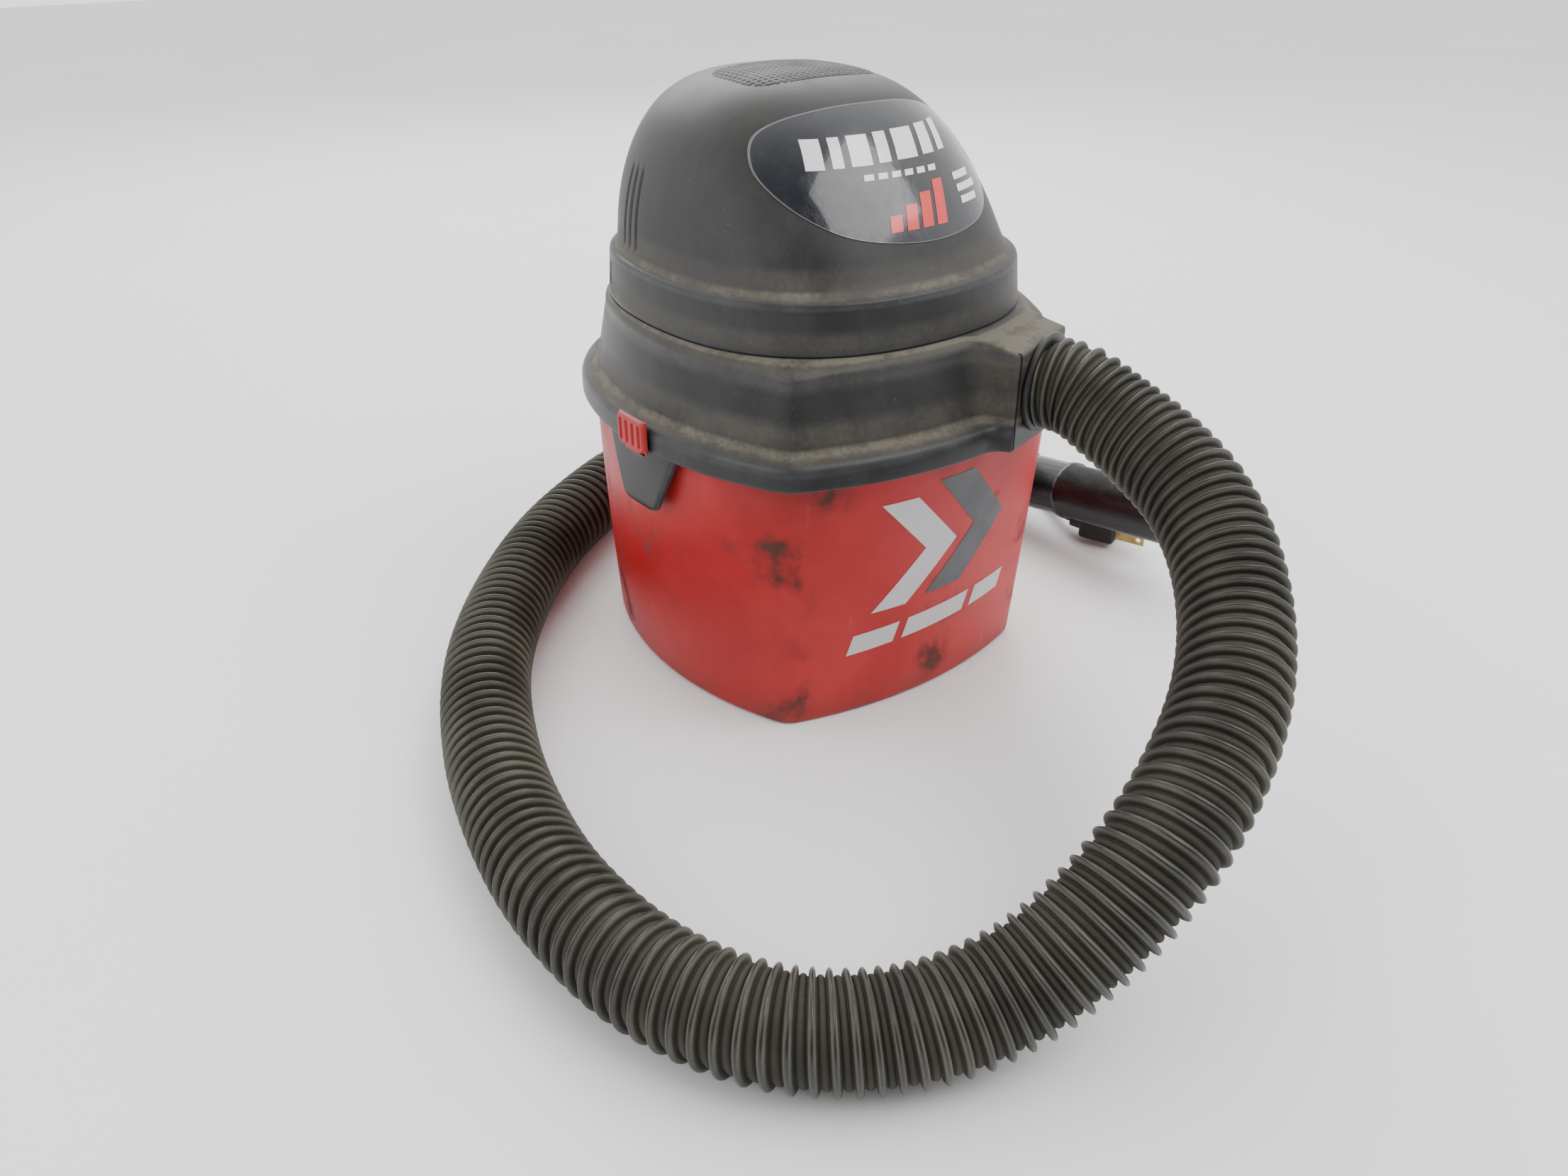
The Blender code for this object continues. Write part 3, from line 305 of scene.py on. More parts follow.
# Each finish: its maker, then what the maker takes.
FINISHES = {
    "tank_red": (red_plastic, (0.4, 0.008, 0.01), 1.5),
    "latch_red": (red_plastic, (0.4, 0.011, 0.012), 0.4),
    "lid_black": (dusty_plastic, (0.009, 0.009, 0.0094), (0.145, 0.13, 0.1), 0.26, 0.42, 0.4, 0.1,
                  LID_DUST, BOSS_DUST, LID_RUB_HIGHLIGHTS),
    "housing_black": (dusty_plastic, (0.0088, 0.0088, 0.0092), (0.135, 0.124, 0.1), 0.12, 0.42, 0.44, 0.16,
                      HOUSING_DUST, (), HOUSING_RUB_HIGHLIGHTS),
    # A darker copy of the housing's finish: painted shade for the openings of the grille.
    "vent_black_painted_shade": (dusty_plastic, (0.0065, 0.0065, 0.0068), (0.085, 0.079, 0.066), 0.2, 0.4, 0.5, 0.2),
    "cuff_black": (dusty_plastic, (0.016, 0.0155, 0.015), (0.12, 0.105, 0.078), 0.35, 0.35, 0.42, 0.08),
    "hose_black": (hose_plastic,),
    "gloss_black": (gloss_plastic, (0.0055, 0.006, 0.008), 0.24, 0.35),
    "cord_black": (soft_black, (0.014, 0.014, 0.015), 0.8, 0.42),
    "switch_black": (gloss_plastic, (0.012, 0.012, 0.012), 0.25, 0.2),
    "switch_red": (gloss_plastic, (0.42, 0.02, 0.015), 0.25, 0.1),
    "gasket": (soft_black, (0.02, 0.02, 0.02), 0.6, 0.6),
    "cage_grey": (dusty_plastic, (0.075, 0.075, 0.075), (0.26, 0.21, 0.14), 0.4, 0.25, 0.45, 0.1),
    "fan_plastic": (dusty_plastic, (0.34, 0.3, 0.23), (0.12, 0.1, 0.07), 0.4, 0.3, 0.4, 0.1),
    "float_white": (dusty_plastic, (0.7, 0.69, 0.64), (0.34, 0.27, 0.18), 0.2, 0.3, 0.3, 0.05),
    "foam": (foam,),
    "steel": (metal, (0.6, 0.6, 0.61), 0.26, (0.22, 0.15, 0.1), 0.45),
    "aluminium": (metal, (0.72, 0.72, 0.73), 0.3, (0.34, 0.32, 0.28), 0.5, (1, 1, 0.2)),
    "copper": (banded, 190, 0.6, (0.2, 0.06, 0.025), (0.62, 0.24, 0.1), 0.0, 0.32, 0.5, 0.0004, 0.85),
    "brass": (metal, (0.56, 0.41, 0.16), 0.28, (0.16, 0.13, 0.05), 0.8),
    "laminations": (banded, 320, 0.0, (0.12, 0.11, 0.11), (0.42, 0.41, 0.4), 0.5, 0.48, 0.4, 0.0002, 0.9),
    "carbon": (soft_black, (0.022, 0.022, 0.024), 0.2, 0.5),
    "label_black": (label_film, (0.005, 0.0068, 0.0125), 0.2),
    "label_edge": (label_film, (0.13, 0.13, 0.125), 0.5),
    "label_white": (label_film, (0.86, 0.86, 0.86), 0.15),
    "label_red": (label_film, (0.78, 0.014, 0.012), 0.1),
    "ink_white": (ink, (0.56, 0.54, 0.54)),
    "ink_grey": (ink, (0.072, 0.073, 0.08)),
    "floor": (pale_floor,),
}
FINISH = {name: maker(Nodes(bpy.data.materials.new(name)), *given)
          for name, (maker, *given) in FINISHES.items()}


def dress(mesh, finish, smooth=35):
    """Give a mesh its finish and shade it smooth up to an angle in degrees."""
    mesh.materials.clear()
    mesh.materials.append(FINISH[finish])
    mesh.shade_smooth()
    mesh.set_sharp_from_angle(angle=radians(smooth))


# ---- camera, floor and light

CAMERA_PLACE = (-0.3445, -0.4606, 0.3577)
CAMERA_AIM = (0.4965, 0.6987, -0.515)
CAMERA_LENS = 27.67
SENSOR_WIDTH = 36.0
FLOOR_HALF = 4
DARK_SIDE = (-0.53, -0.72, 0.45)
WORLD_BRIGHT = 1.75
WORLD_DARK = 0.35
# Each lamp: its place, what it aims at, its two sides and its power.
LAMPS = {
    "key": ((0.5, -0.9, 1.5), (0, 0, 0.1), (1.3, 0.9), 16),
    "left": ((-1.3, -0.1, 0.9), (0, 0, 0.15), (0.9, 0.7), 6),
    "back": ((0.5, 1.2, 1.0), (0, 0, 0.15), (1.4, 0.6), 14),
}


def new_object(name, data):
    obj = bpy.data.objects.new(name, data)
    bpy.context.scene.collection.objects.link(obj)
    return obj


def aimed(name, data, place, direction):
    """A camera or a lamp at a place, looking along a direction."""
    return set_all(new_object(name, data), location=place, rotation_mode="QUATERNION",
                   rotation_quaternion=Vector(direction).to_track_quat("-Z", "Y"))


def make_camera():
    data = set_all(bpy.data.cameras.new("camera"), lens=CAMERA_LENS, sensor_width=SENSOR_WIDTH,
                   clip_start=0.01)
    bpy.context.scene.camera = aimed("camera", data, CAMERA_PLACE, CAMERA_AIM)


def make_light():
    """A bright even surround, darker behind the viewer, with three soft lamps."""
    world = bpy.data.worlds.new("studio")
    n = Nodes(world)
    facing_front = n.node("ShaderNodeVectorMath", (n.place["Generated"], DARK_SIDE), "Value",
                          operation="DOT_PRODUCT")
    back = n.tree.nodes["Background"].inputs
    n.fill(back["Strength"], n.span(facing_front, 0.1, 0.95, WORLD_BRIGHT, WORLD_DARK))
    n.fill(back["Color"], (1, 1, 1))
    bpy.context.scene.world = world
    for name, (place, target, (wide, high), power) in LAMPS.items():
        data = set_all(bpy.data.lights.new(name, "AREA"), shape="RECTANGLE", size=wide, size_y=high,
                       energy=power)
        aimed(name, data, place, Vector(target) - Vector(place))


def make_floor():
    bm = bmesh.new()
    bmesh.ops.create_grid(bm, x_segments=1, y_segments=1, size=FLOOR_HALF)
    floor = new_object("floor", mesh_of(bm, closed=False))
    floor.data.materials.append(FINISH["floor"])


# ---- mesh helpers

def piece(name, mesh, body, finish, *replaced, slot=None, smooth=35):
    """Make an object of a mesh, give it its finish and let it ride on a body, in place of some nodes."""
    obj = new_object(name, mesh)
    dress(mesh, finish, smooth)
    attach(obj, body)
    if replaced:
        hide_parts(*replaced)
    return obj


def mesh_of(bm, closed=True):
    """The mesh of a bmesh; a closed one gets its faces turned outward."""
    if closed:
        bmesh.ops.recalc_face_normals(bm, faces=bm.faces)
        if bm.calc_volume(signed=True) < 0:
            bmesh.ops.reverse_faces(bm, faces=bm.faces)
    mesh = bpy.data.meshes.new("mesh")
    bm.to_mesh(mesh)
    bm.free()
    return mesh


def vertex_rows(bm, points):
    """Rows of vertices at rows of points in millimetres."""
    return [[bm.verts.new(point) for point in row] for row in (np.asarray(points) * MM).tolist()]


def sheet(bm, rows):
    """Faces between neighbouring rows of vertices; a vertex repeated in a corner counts once."""
    for low, high in zip(rows, rows[1:]):
        for corners in zip(low, low[1:], high[1:], high):
            bm.faces.new(tuple(dict.fromkeys(corners)))


def loft(rings, closed=False):
    """Skin rings of equal length; the first and the last are joined or else capped."""
    bm = bmesh.new()
    rows = vertex_rows(bm, rings)
    if not closed:
        bm.faces.new(rows[0])
        bm.faces.new(rows[-1])
    sheet(bm, [row + row[:1] for row in (rows + rows[:1] if closed else rows)])
    return mesh_of(bm)


def rounded(profile, radius, steps=4):
    """Round each corner of a closed profile by an arc of at most the given radius."""
    points = [Vector(point) for point in profile]
    out = []
    for before, corner, after in zip(points[-1:] + points[:-1], points, points[1:] + points[:1]):
        reach = min(radius, (before - corner).length * 0.45, (after - corner).length * 0.45)
        start = corner + (before - corner).normalized() * reach
        end = corner + (after - corner).normalized() * reach
        for i in range(steps + 1):
            t = i / steps
            out.append(tuple((1 - t) ** 2 * start + 2 * t * (1 - t) * corner + t * t * end))
    return out


def turned(profile, rounding, place, steps=96):
    """Turn a closed profile of radii and heights, its corners rounded, about the placement's Z axis."""
    turns = np.linspace(0, 2 * pi, steps, endpoint=False)
    rings = [np.stack([r * np.cos(turns), r * np.sin(turns), np.full(steps, h)], axis=1)
             for r, h in rounded(profile, rounding)]
    mesh = loft(rings, closed=True)
    mesh.transform(place)
    return mesh


def block(size, place, bevel=0, segments=4):
    bm = bmesh.new()
    bmesh.ops.create_cube(bm, size=1.0)
    bmesh.ops.scale(bm, vec=Vector(size) * MM, verts=bm.verts)
    if bevel:
        bmesh.ops.bevel(bm, geom=bm.edges, offset=bevel * MM, segments=segments, affect="EDGES", profile=0.5,
                        clamp_overlap=True)
    bm.transform(place)
    return mesh_of(bm)


def rod(radius, length, place, sides=48):
    bm = bmesh.new()
    bmesh.ops.create_cone(bm, cap_ends=True, segments=sides, radius1=radius * MM, radius2=radius * MM,
                          depth=length * MM)
    bmesh.ops.translate(bm, vec=(0, 0, length * MM / 2), verts=bm.verts)
    bm.transform(place)
    return mesh_of(bm)


def combined(target, operation, *tools):
    """The mesh that a Boolean of the target with the tools gives."""
    bm = bmesh.new()
    for tool in tools:
        bm.from_mesh(tool)
    base = new_object("boolean_target", target)
    cutter = new_object("boolean_tool", mesh_of(bm, closed=False))
    set_all(base.modifiers.new("change", "BOOLEAN"), operation=operation, solver="EXACT", object=cutter)
    bpy.context.view_layer.update()
    result = bpy.data.meshes.new_from_object(base.evaluated_get(bpy.context.evaluated_depsgraph_get()))
    bpy.data.objects.remove(base)
    bpy.data.objects.remove(cutter)
    return result


def in_metres(*points):
    return tuple(tuple(round(v * MM, 6) for v in point) for point in points)


def at(x, y, z):
    return Matrix.Translation(Vector((x, y, z)) * MM)


def turn_z(degrees):
    return Matrix.Rotation(radians(degrees), 4, "Z")


def along(axis, origin):
    """A placement whose Z runs along an axis from an origin in metres."""
    return Matrix.Translation(origin) @ Vector(axis).to_track_quat("Z", "Y").to_matrix().to_4x4()


def facing(azimuth, distance, side, z):
    """X along the wall, Y into the machine, Z up, at an azimuth counted from the front."""
    return turn_z(azimuth) @ at(side, -distance, z)


def step_up(value, low, high):
    t = np.clip((value - low) / (high - low), 0, 1)
    return t * t * (3 - 2 * t)


def spline(a, b, c, d, t):
    """A point between b and c on the smooth curve through four points."""
    return 0.5 * (2 * b + (c - a) * t + (2 * a - 5 * b + 4 * c - d) * t * t
                  + (3 * b - a - 3 * c + d) * t ** 3)


# ---- outlines shared by the shells

# Half an outline in arcs: the front's radius and end angle, the corner's, the side's, and the front's Y.
BASE_PLAN = (222, 18.0, 14.0, 62.9, 169.5, 109.0, -94.5)
SKIRT_PLAN = (195, 21.6, 32.6, 60.5, 167.0, 109.6, -112.7)
ARC_STEPS = (40, 40, 60, 50)

TANK_RIM_Z = 137.5
TANK_INSET = 6.5
TANK_WALL = 2.5
TANK_FLOOR = 3.2
SKIRT_Z = 132
DECK_Z = 140
DECK_TOP = 143
LID_WALL_Z = 175
LID_WALL_INSET = 14.6
SEAM_Z = 181.5
SEAM_MEAN = 95.8
SEAM_WAVES = ((1, -1.0), (2, 0.8), (3, 0.2), (4, -2.75))
BAND_TOP_Z = 204
BAND_TAPER = 0.982
DOME_FOOT = 0.93
DOME_TOP_Z = 278.8
DOME_LEAN = 21.6
DOME_POWER_Z = 1.457
DOME_POWER_R = 0.575
DOME_LEAN_POWER = 0.84


def plan_half(plan, inset):
    """The outline's right half from the front to the back, as x and y arrays."""
    front_r, front_end, corner_r, corner_end, side_r, side_end, y = plan
    stops = np.radians([0, front_end, corner_end, side_end, 180])
    radii = [front_r, corner_r, side_r]
    radii.append(np.dot(radii, np.diff(np.sin(stops[:4]))) / np.sin(stops[3]))
    x = 0.0
    xs, ys = [], []
    for radius, start, end, steps in zip(radii, stops, stops[1:], ARC_STEPS):
        t = np.linspace(start, end, steps, endpoint=False)
        xs.append(x + radius * (np.sin(t) - np.sin(start)) - inset * np.sin(t))
        ys.append(y + radius * (np.cos(start) - np.cos(t)) + inset * np.cos(t))
        x += radius * (np.sin(end) - np.sin(start))
        y += radius * (np.cos(start) - np.cos(end))
    return np.append(np.concatenate(xs), 0.0), np.append(np.concatenate(ys), y - inset)


def plan_radius(plan, inset, azimuths):
    """Distance from the centre to the outline along each azimuth."""
    x, y = plan_half(plan, inset)
    return np.interp(np.abs(azimuths), np.arctan2(x, -y), np.hypot(x, y))


def seam_radius(azimuths):
    return SEAM_MEAN + sum(size * np.cos(k * azimuths) for k, size in SEAM_WAVES)


def ring_at(radius, azimuths, z, shift=0.0):
    return np.stack([radius * np.sin(azimuths), shift - radius * np.cos(azimuths),
                     np.broadcast_to(z, azimuths.shape)], axis=1)


def columns(*dense, step=1.0, fine=0.3):
    """Azimuths all round at an even step, with closer ones between the given pairs of degrees."""
    stops = list(np.arange(-180, 180, step))
    for low, high in dense:
        stops += list(np.arange(low, high, fine))
    return np.radians(np.unique(np.round(stops, 4)))


# ---- tank

LIP_Z = TANK_RIM_Z - 4
# Each row of the tank, up the outside and down the inside: its height and its inset from the outline.
TANK_ROWS = (
    (0, 3.2), (0.15, 2.2), (0.5, 1.2), (1.1, 0.5), (2.0, 0.12), (3.2, 0),
    *((z, 0) for z in np.linspace(10, LIP_Z - 1.2, 22)),
    (LIP_Z, -0.4), (LIP_Z, -2.0), (LIP_Z + 0.4, -2.5), (TANK_RIM_Z - 0.6, -2.5), (TANK_RIM_Z, -1.9),
    (TANK_RIM_Z, TANK_WALL - 0.5), (TANK_RIM_Z - 0.5, TANK_WALL),
    *((z, TANK_WALL) for z in np.linspace(LIP_Z, 9, 12)),
    (6, 3.0), (4.4, 4.2), (3.6, 6), (TANK_FLOOR, 9),
)


def tank_radius(z, inset, azimuths):
    """The outline goes over from the base's plan to the skirt's with height."""
    share = z / TANK_RIM_Z
    plan = [a + (b - a) * share for a, b in zip(BASE_PLAN, SKIRT_PLAN)]
    return plan_radius(plan, inset + TANK_INSET * share, azimuths)


def build_tank():
    azimuths = columns((-50, -30), (30, 50), step=1.5, fine=0.75)
    rows = [ring_at(tank_radius(z, inset, azimuths), azimuths, z) for z, inset in TANK_ROWS]
    return piece("tank_shell", loft(rows), "tank", "tank_red", "tank")


# ---- lid

BOSS_AZIMUTH = 20
BOSS_FACE = 118.5
BOSS_LEFT, BOSS_RIGHT = -18.0, 31.0
BOSS_LOW, BOSS_HIGH = 99.4, 180.6
BOSS_DEPTH = 60
BOSS_EDGE = 1.6
BOSS_TOP_Z = 177.0
BOSS_SLOPE = 0.2
BOSS_UNION = 9.0
BOSS_GROOVE = (1.8, 0.8, 2.2)
BORE_SIDE = 9.0
BORE_Z = 157.5
CREASE_WIDTH = 9.0
CREASE_RISE = 1.7
# The skirt, the valley over it and the wall: heights and insets from the outline.
SKIRT_ROWS = (
    (SKIRT_Z, 0.9), (132.2, 0.35), (132.7, 0.0), (135, 0), (137.5, 0.05), (139.5, 0.15), (140.8, 0.5),
    (141.9, 1.0), (142.8, 1.7), (143.5, 2.6), (144.0, 3.6), (144.4, 4.7), (144.7, 5.8), (145.0, 6.8),
    (145.6, 7.7), (146.6, 8.4), (148, 8.9), (151, 9.6), (155, 10.4), (160, 11.4), (165, 12.5), (170, 13.5),
    (LID_WALL_Z, LID_WALL_INSET),
)


def soft_max(a, b, k):
    h = np.clip(0.5 - 0.5 * (b - a) / k, 0, 1)
    return b + (a - b) * h + k * h * (1 - h)


def boss_distance(x, y, z):
    """Signed distance to the hose boss: a rounded block with a sloping top and an upright groove."""
    turn = radians(BOSS_AZIMUTH)
    out = x * sin(turn) - y * cos(turn)
    side = x * cos(turn) + y * sin(turn)
    ends = ((out, BOSS_FACE - BOSS_DEPTH, BOSS_FACE), (side, BOSS_LEFT, BOSS_RIGHT), (z, BOSS_LOW, BOSS_HIGH))
    q = np.stack([np.abs(v - (low + high) / 2) - (high - low) / 2 + BOSS_EDGE for v, low, high in ends])
    box = np.sqrt((np.maximum(q, 0) ** 2).sum(axis=0)) + np.minimum(q.max(axis=0), 0) - BOSS_EDGE
    slope = z - (BOSS_TOP_Z + (BOSS_FACE - out) * BOSS_SLOPE)
    groove_in, groove_half, groove_deep = BOSS_GROOVE
    groove = np.maximum(np.abs(side - BOSS_LEFT - groove_in) - groove_half, BOSS_FACE - groove_deep - out)
    return np.maximum(soft_max(box, slope, BOSS_EDGE), -groove)


def with_boss(radius, azimuths, z):
    """Push the outline out to where it meets the boss, with a fillet between them."""
    reach = np.arange(70, 140, 0.25)
    rho, az = np.meshgrid(reach, azimuths)
    x, y = rho * np.sin(az), -rho * np.cos(az)
    depth = soft_max(radius[:, None] - rho, -boss_distance(x, y, np.full_like(x, z)), BOSS_UNION)
    last = len(reach) - 1 - np.argmax((depth > 0)[:, ::-1], axis=1)
    last = np.clip(last, 0, len(reach) - 2)
    row = np.arange(len(azimuths))
    a, b = depth[row, last], depth[row, last + 1]
    return reach[last] + (reach[1] - reach[0]) * np.clip(a / (a - b), 0, 1)


def crease(azimuths, z):
    """An upright edge on each front corner, faint on the skirt and crisp on the wall above it."""
    x, y = plan_half(SKIRT_PLAN, LID_WALL_INSET)
    azimuth = np.arctan2(x, -y)
    front = azimuth < radians(80)
    corner = azimuth[front][np.argmax(np.hypot(x, y)[front])]
    near = np.clip(1 - np.degrees(np.abs(np.abs(azimuths) - corner)) / CREASE_WIDTH, 0, 1)
    strength = 0.45 + 0.55 * step_up(z, 146.5, 151)
    return CREASE_RISE * strength * (1 - step_up(z, 174, 180.5)) * near ** 1.8


def lid_outer_rows(azimuths):
    """The skirt and the wall, then a shoulder that levels off to the housing's seam."""
    rows = []
    for z, inset in SKIRT_ROWS:
        radius = plan_radius(SKIRT_PLAN, inset, azimuths) + crease(azimuths, z)
        rows.append(ring_at(with_boss(radius, azimuths, z), azimuths, z))
    wall, seam = plan_radius(SKIRT_PLAN, LID_WALL_INSET, azimuths), seam_radius(azimuths)
    for u in np.linspace(0, 1, 22)[1:]:
        share = u ** 2.4
        z = LID_WALL_Z + (SEAM_Z - LID_WALL_Z) * share ** 0.35
        radius = wall + (seam - wall) * share + crease(azimuths, z) * (1 - share)
        rows.append(ring_at(np.maximum(with_boss(radius, azimuths, z), seam), azimuths, z))
    return rows


LATCH_NORMAL = 86.5
LATCH_PIN_Z = 140
WINDOW_Z = 135.15
TAB_TOP_Z, TAB_FOOT_Z = 133, 102.0
TAB_HALF_TOP, TAB_HALF_FOOT = 27.0, 13.0
TAB_CORNER = 3.2
TAB_LEVELS = (1.0, 0.93, 0.85, 0.74, 0.6, 0.46, 0.32, 0.2, 0.12, 0.06, 0.025, 0.0)
TAB_POINTS = 33


def latch_place(side, z):
    """The placement on the skirt where a latch sits."""
    front_r, front_end, corner_r, corner_end, side_r, _, front_y = SKIRT_PLAN
    stops = np.radians([0, front_end, corner_end, LATCH_NORMAL])
    radii = (front_r, corner_r, side_r)
    x, y = np.dot(radii, np.diff(np.sin(stops))), front_y - np.dot(radii, np.diff(np.cos(stops)))
    return at(side * x, y, z) @ turn_z(side * LATCH_NORMAL)


def tab(side):
    """The finger tab under a latch: a rounded plate that narrows to its foot."""
    rings = []
    for share in TAB_LEVELS:
        corner = TAB_CORNER * (1 - sqrt(1 - (1 - min(1.0, share / 0.12)) ** 2))
        half = TAB_HALF_FOOT + (TAB_HALF_TOP - TAB_HALF_FOOT) * share - corner
        across = np.linspace(-half, half, TAB_POINTS)
        middle = 0.4 + 0.8 * share + (0.3 + 2.1 * share) * (across / TAB_HALF_TOP) ** 2
        beside, below = np.clip((np.abs(across) - half + 2.2) / 2.2, 0, 1), max(0, 1 - share / 0.1)
        brow = 0.9 * beside ** 2 + 0.8 * below ** 2
        z = np.full(TAB_POINTS, TAB_FOOT_Z + (TAB_TOP_Z - TAB_FOOT_Z) * share)
        front = np.stack([across, middle + brow, z], axis=1)
        back = np.stack([across, middle + 2.6 + 0.4 * share, z], axis=1)
        rings.append(np.concatenate([front, back[::-1]]))
    mesh = loft(rings)
    mesh.transform(latch_place(side, 0))
    return mesh


def bore_place(back):
    """On the bore's axis, a distance behind the boss's face, with Z out of the machine."""
    return facing(BOSS_AZIMUTH, BOSS_FACE - back, BORE_SIDE, BORE_Z) @ Matrix.Rotation(pi / 2, 4, "X")


def build_lid():
    azimuths = columns((-46, -34), (4, 44))
    azimuths = np.unique(np.concatenate([azimuths, np.radians(np.arange(9, 15, 0.12))]))
    seam, skirt = seam_radius(azimuths), plan_radius(SKIRT_PLAN, 3.4, azimuths)
    hole = np.full(azimuths.shape, 16.0)
    inner = (((seam - 5), SEAM_Z), ((plan_radius(SKIRT_PLAN, 17.3, azimuths) + seam - 6) / 2, 174),
             (plan_radius(SKIRT_PLAN, 12, azimuths), DECK_TOP), (hole, DECK_TOP), (hole, DECK_Z),
             (skirt, DECK_Z), (skirt, SKIRT_Z))
    rows = lid_outer_rows(azimuths) + [ring_at(radius, azimuths, z) for radius, z in inner]
    mesh = combined(loft(rows, closed=True), "UNION", tab(-1), tab(1))
    windows = [block((13, 9, 13.7), latch_place(side, WINDOW_Z) @ at(0, 1.7, 0)) for side in (-1, 1)]
    mesh = combined(mesh, "DIFFERENCE", rod(16, 40, bore_place(38)), *windows)
    return piece("lid_shell", mesh, "head", "lid_black", "lid", smooth=32)


# ---- latches

LATCH_WIDTH = 21.0
LATCH_LOW, LATCH_HIGH = -8.0, 6.9
LATCH_GROOVES = (-7.2, -2.4, 2.4, 7.2)
LATCH_CORNER = 2.6
LATCH_EDGE = 1.5
PLATE_BACK, PLATE_THICK = -0.6, 2.6
PLATE_FORWARD = 1.8


def build_latch(side, word):
    """A thumb plate with rounded edges and four grooves, a lug round the pin and a hook below."""
    half = LATCH_WIDTH / 2
    x, z = np.meshgrid(np.linspace(-half, half, 85), np.linspace(LATCH_LOW, LATCH_HIGH, 50))
    beside = half - np.abs(x)
    level = np.minimum(z - LATCH_LOW, LATCH_HIGH - z)
    corner = np.hypot(np.minimum(beside - LATCH_CORNER, 0), np.minimum(level - LATCH_CORNER, 0))
    inside = np.where(corner > 0, LATCH_CORNER - corner, np.minimum(beside, level))
    edge = np.clip(inside, 0, LATCH_EDGE) / LATCH_EDGE
    depth = PLATE_THICK - LATCH_EDGE * (1 - np.sqrt(edge * (2 - edge)))
    ends = (step_up(z, LATCH_LOW + 1.5, LATCH_LOW + 2.6)
            * (1 - step_up(z, LATCH_HIGH - 2.9, LATCH_HIGH - 1.8)))
    for middle in LATCH_GROOVES:
        depth = depth - 1.15 * ends * step_up(1 - np.abs(x - middle) / 1.3, 0.0, 0.7)
    bm = bmesh.new()
    rims = []
    for y in (PLATE_BACK - depth, PLATE_BACK):
        grid = vertex_rows(bm, np.stack(np.broadcast_arrays(x - side * PLATE_FORWARD, y, z), axis=-1))
        sheet(bm, grid)
        rims.append(grid[0] + [row[-1] for row in grid[1:-1]] + grid[-1][::-1]
                    + [row[0] for row in grid[-2::-1]])
    sheet(bm, rims)
    place = latch_place(side, LATCH_PIN_Z)
    bm.transform(place)
    lug = block((12.2, 3.6, 12.2), place @ at(0, 0.7, -4.5), 0.5)
    hook = block((11.8, 4.6, 3.6), place @ at(0, 1.3, -8.7), 0.4)
    mesh = combined(combined(mesh_of(bm), "UNION", lug), "UNION", hook)
    name = "latch_" + word
    return piece(name + "_plate", mesh, name, "latch_red", name)


# ---- motor housing

SWITCH_Z = 228
SWITCH_FACE = 95.5
RELIEF_Z = 193
SLOT_Z = 193
SLOT_AZIMUTHS = (118, 124, 236, 242)
GROOVES = (101.0, 105.5, 110.0)
STEP_FLARE = 3.0
HOUSING_LOW_Z = SEAM_Z + 0.3
HOUSING_WALL = 2.6


def groove_depth(azimuths, z):
    """Three shallow upright grooves on each side of the dome."""
    near = [1 - np.abs(np.degrees(np.abs(azimuths)) - middle) / 1.15 for middle in GROOVES]
    return 1.3 * step_up(np.max(near, axis=0), 0.0, 0.9) * step_up(z, 207.5, 211) * (1 - step_up(z, 236, 244))


def dome_row(azimuths, angle, inset):
    """One level of the dome, outside or inset from it; the dome leans back as it rises."""
    rise = sin(angle) ** DOME_POWER_Z
    z = BAND_TOP_Z + (DOME_TOP_Z - BAND_TOP_Z) * rise
    scale = DOME_FOOT * cos(angle) ** DOME_POWER_R
    radius = seam_radius(azimuths) * scale - inset * cos(angle) ** 0.5
    if not inset:
        radius = radius + STEP_FLARE * exp(-(z - BAND_TOP_Z) / 2.2) - groove_depth(azimuths, z)
    return ring_at(radius, azimuths, z - inset * sin(angle), 0.9 + DOME_LEAN * rise ** DOME_LEAN_POWER)


def build_housing():
    azimuths = columns((-113, -98), (98, 113))
    seam = seam_radius(azimuths)
    band = seam * BAND_TAPER
    levels = [(seam - 1.0, HOUSING_LOW_Z, 0), (seam - 0.3, HOUSING_LOW_Z + 0.1, 0),
              (seam, HOUSING_LOW_Z + 0.7, 0)]
    for share in np.linspace(0.1, 0.92, 8):
        z = HOUSING_LOW_Z + 0.7 + (BAND_TOP_Z - 1.6 - HOUSING_LOW_Z) * share
        levels.append((seam * (1 + (BAND_TAPER - 1) * share), z, 0.5 * share))
    for inset, drop in ((0.0, 1.9), (0.15, 1.2), (0.55, 0.6), (1.2, 0.2), (2.0, 0.02)):
        levels.append((band - inset, BAND_TOP_Z - drop, 0.5))
    angles = np.radians(90 * (np.linspace(0.012, 0.999, 64) ** 0.9))
    outer = [ring_at(radius, azimuths, z, shift) for radius, z, shift in levels]
    outer += [dome_row(azimuths, a, 0) for a in angles]
    inner = [dome_row(azimuths, a, HOUSING_WALL) for a in angles[::-4]]
    inner.append(ring_at(band - HOUSING_WALL - 2, azimuths, BAND_TOP_Z - HOUSING_WALL, 0.7))
    inner.append(ring_at(seam - HOUSING_WALL, azimuths, HOUSING_LOW_Z))
    pad = block((34, 9, 26), at(0, SWITCH_FACE - 4.5, SWITCH_Z), 2.0)
    mesh = combined(loft(inner + outer), "UNION", pad)
    cuts = [block((22.6, 30, 15.6), at(0, SWITCH_FACE - 4, SWITCH_Z)),
            rod(5.3, 40, along((0, 1, 0), Vector((0, 70, RELIEF_Z)) * MM))]
    cuts += [block((3, 30, 11), facing(azimuth, 95, 0, SLOT_Z), 1.2, 3) for azimuth in SLOT_AZIMUTHS]
    mesh = combined(mesh, "DIFFERENCE", *cuts)
    return piece("housing_shell", mesh, "head", "housing_black", "motor_housing", smooth=32)


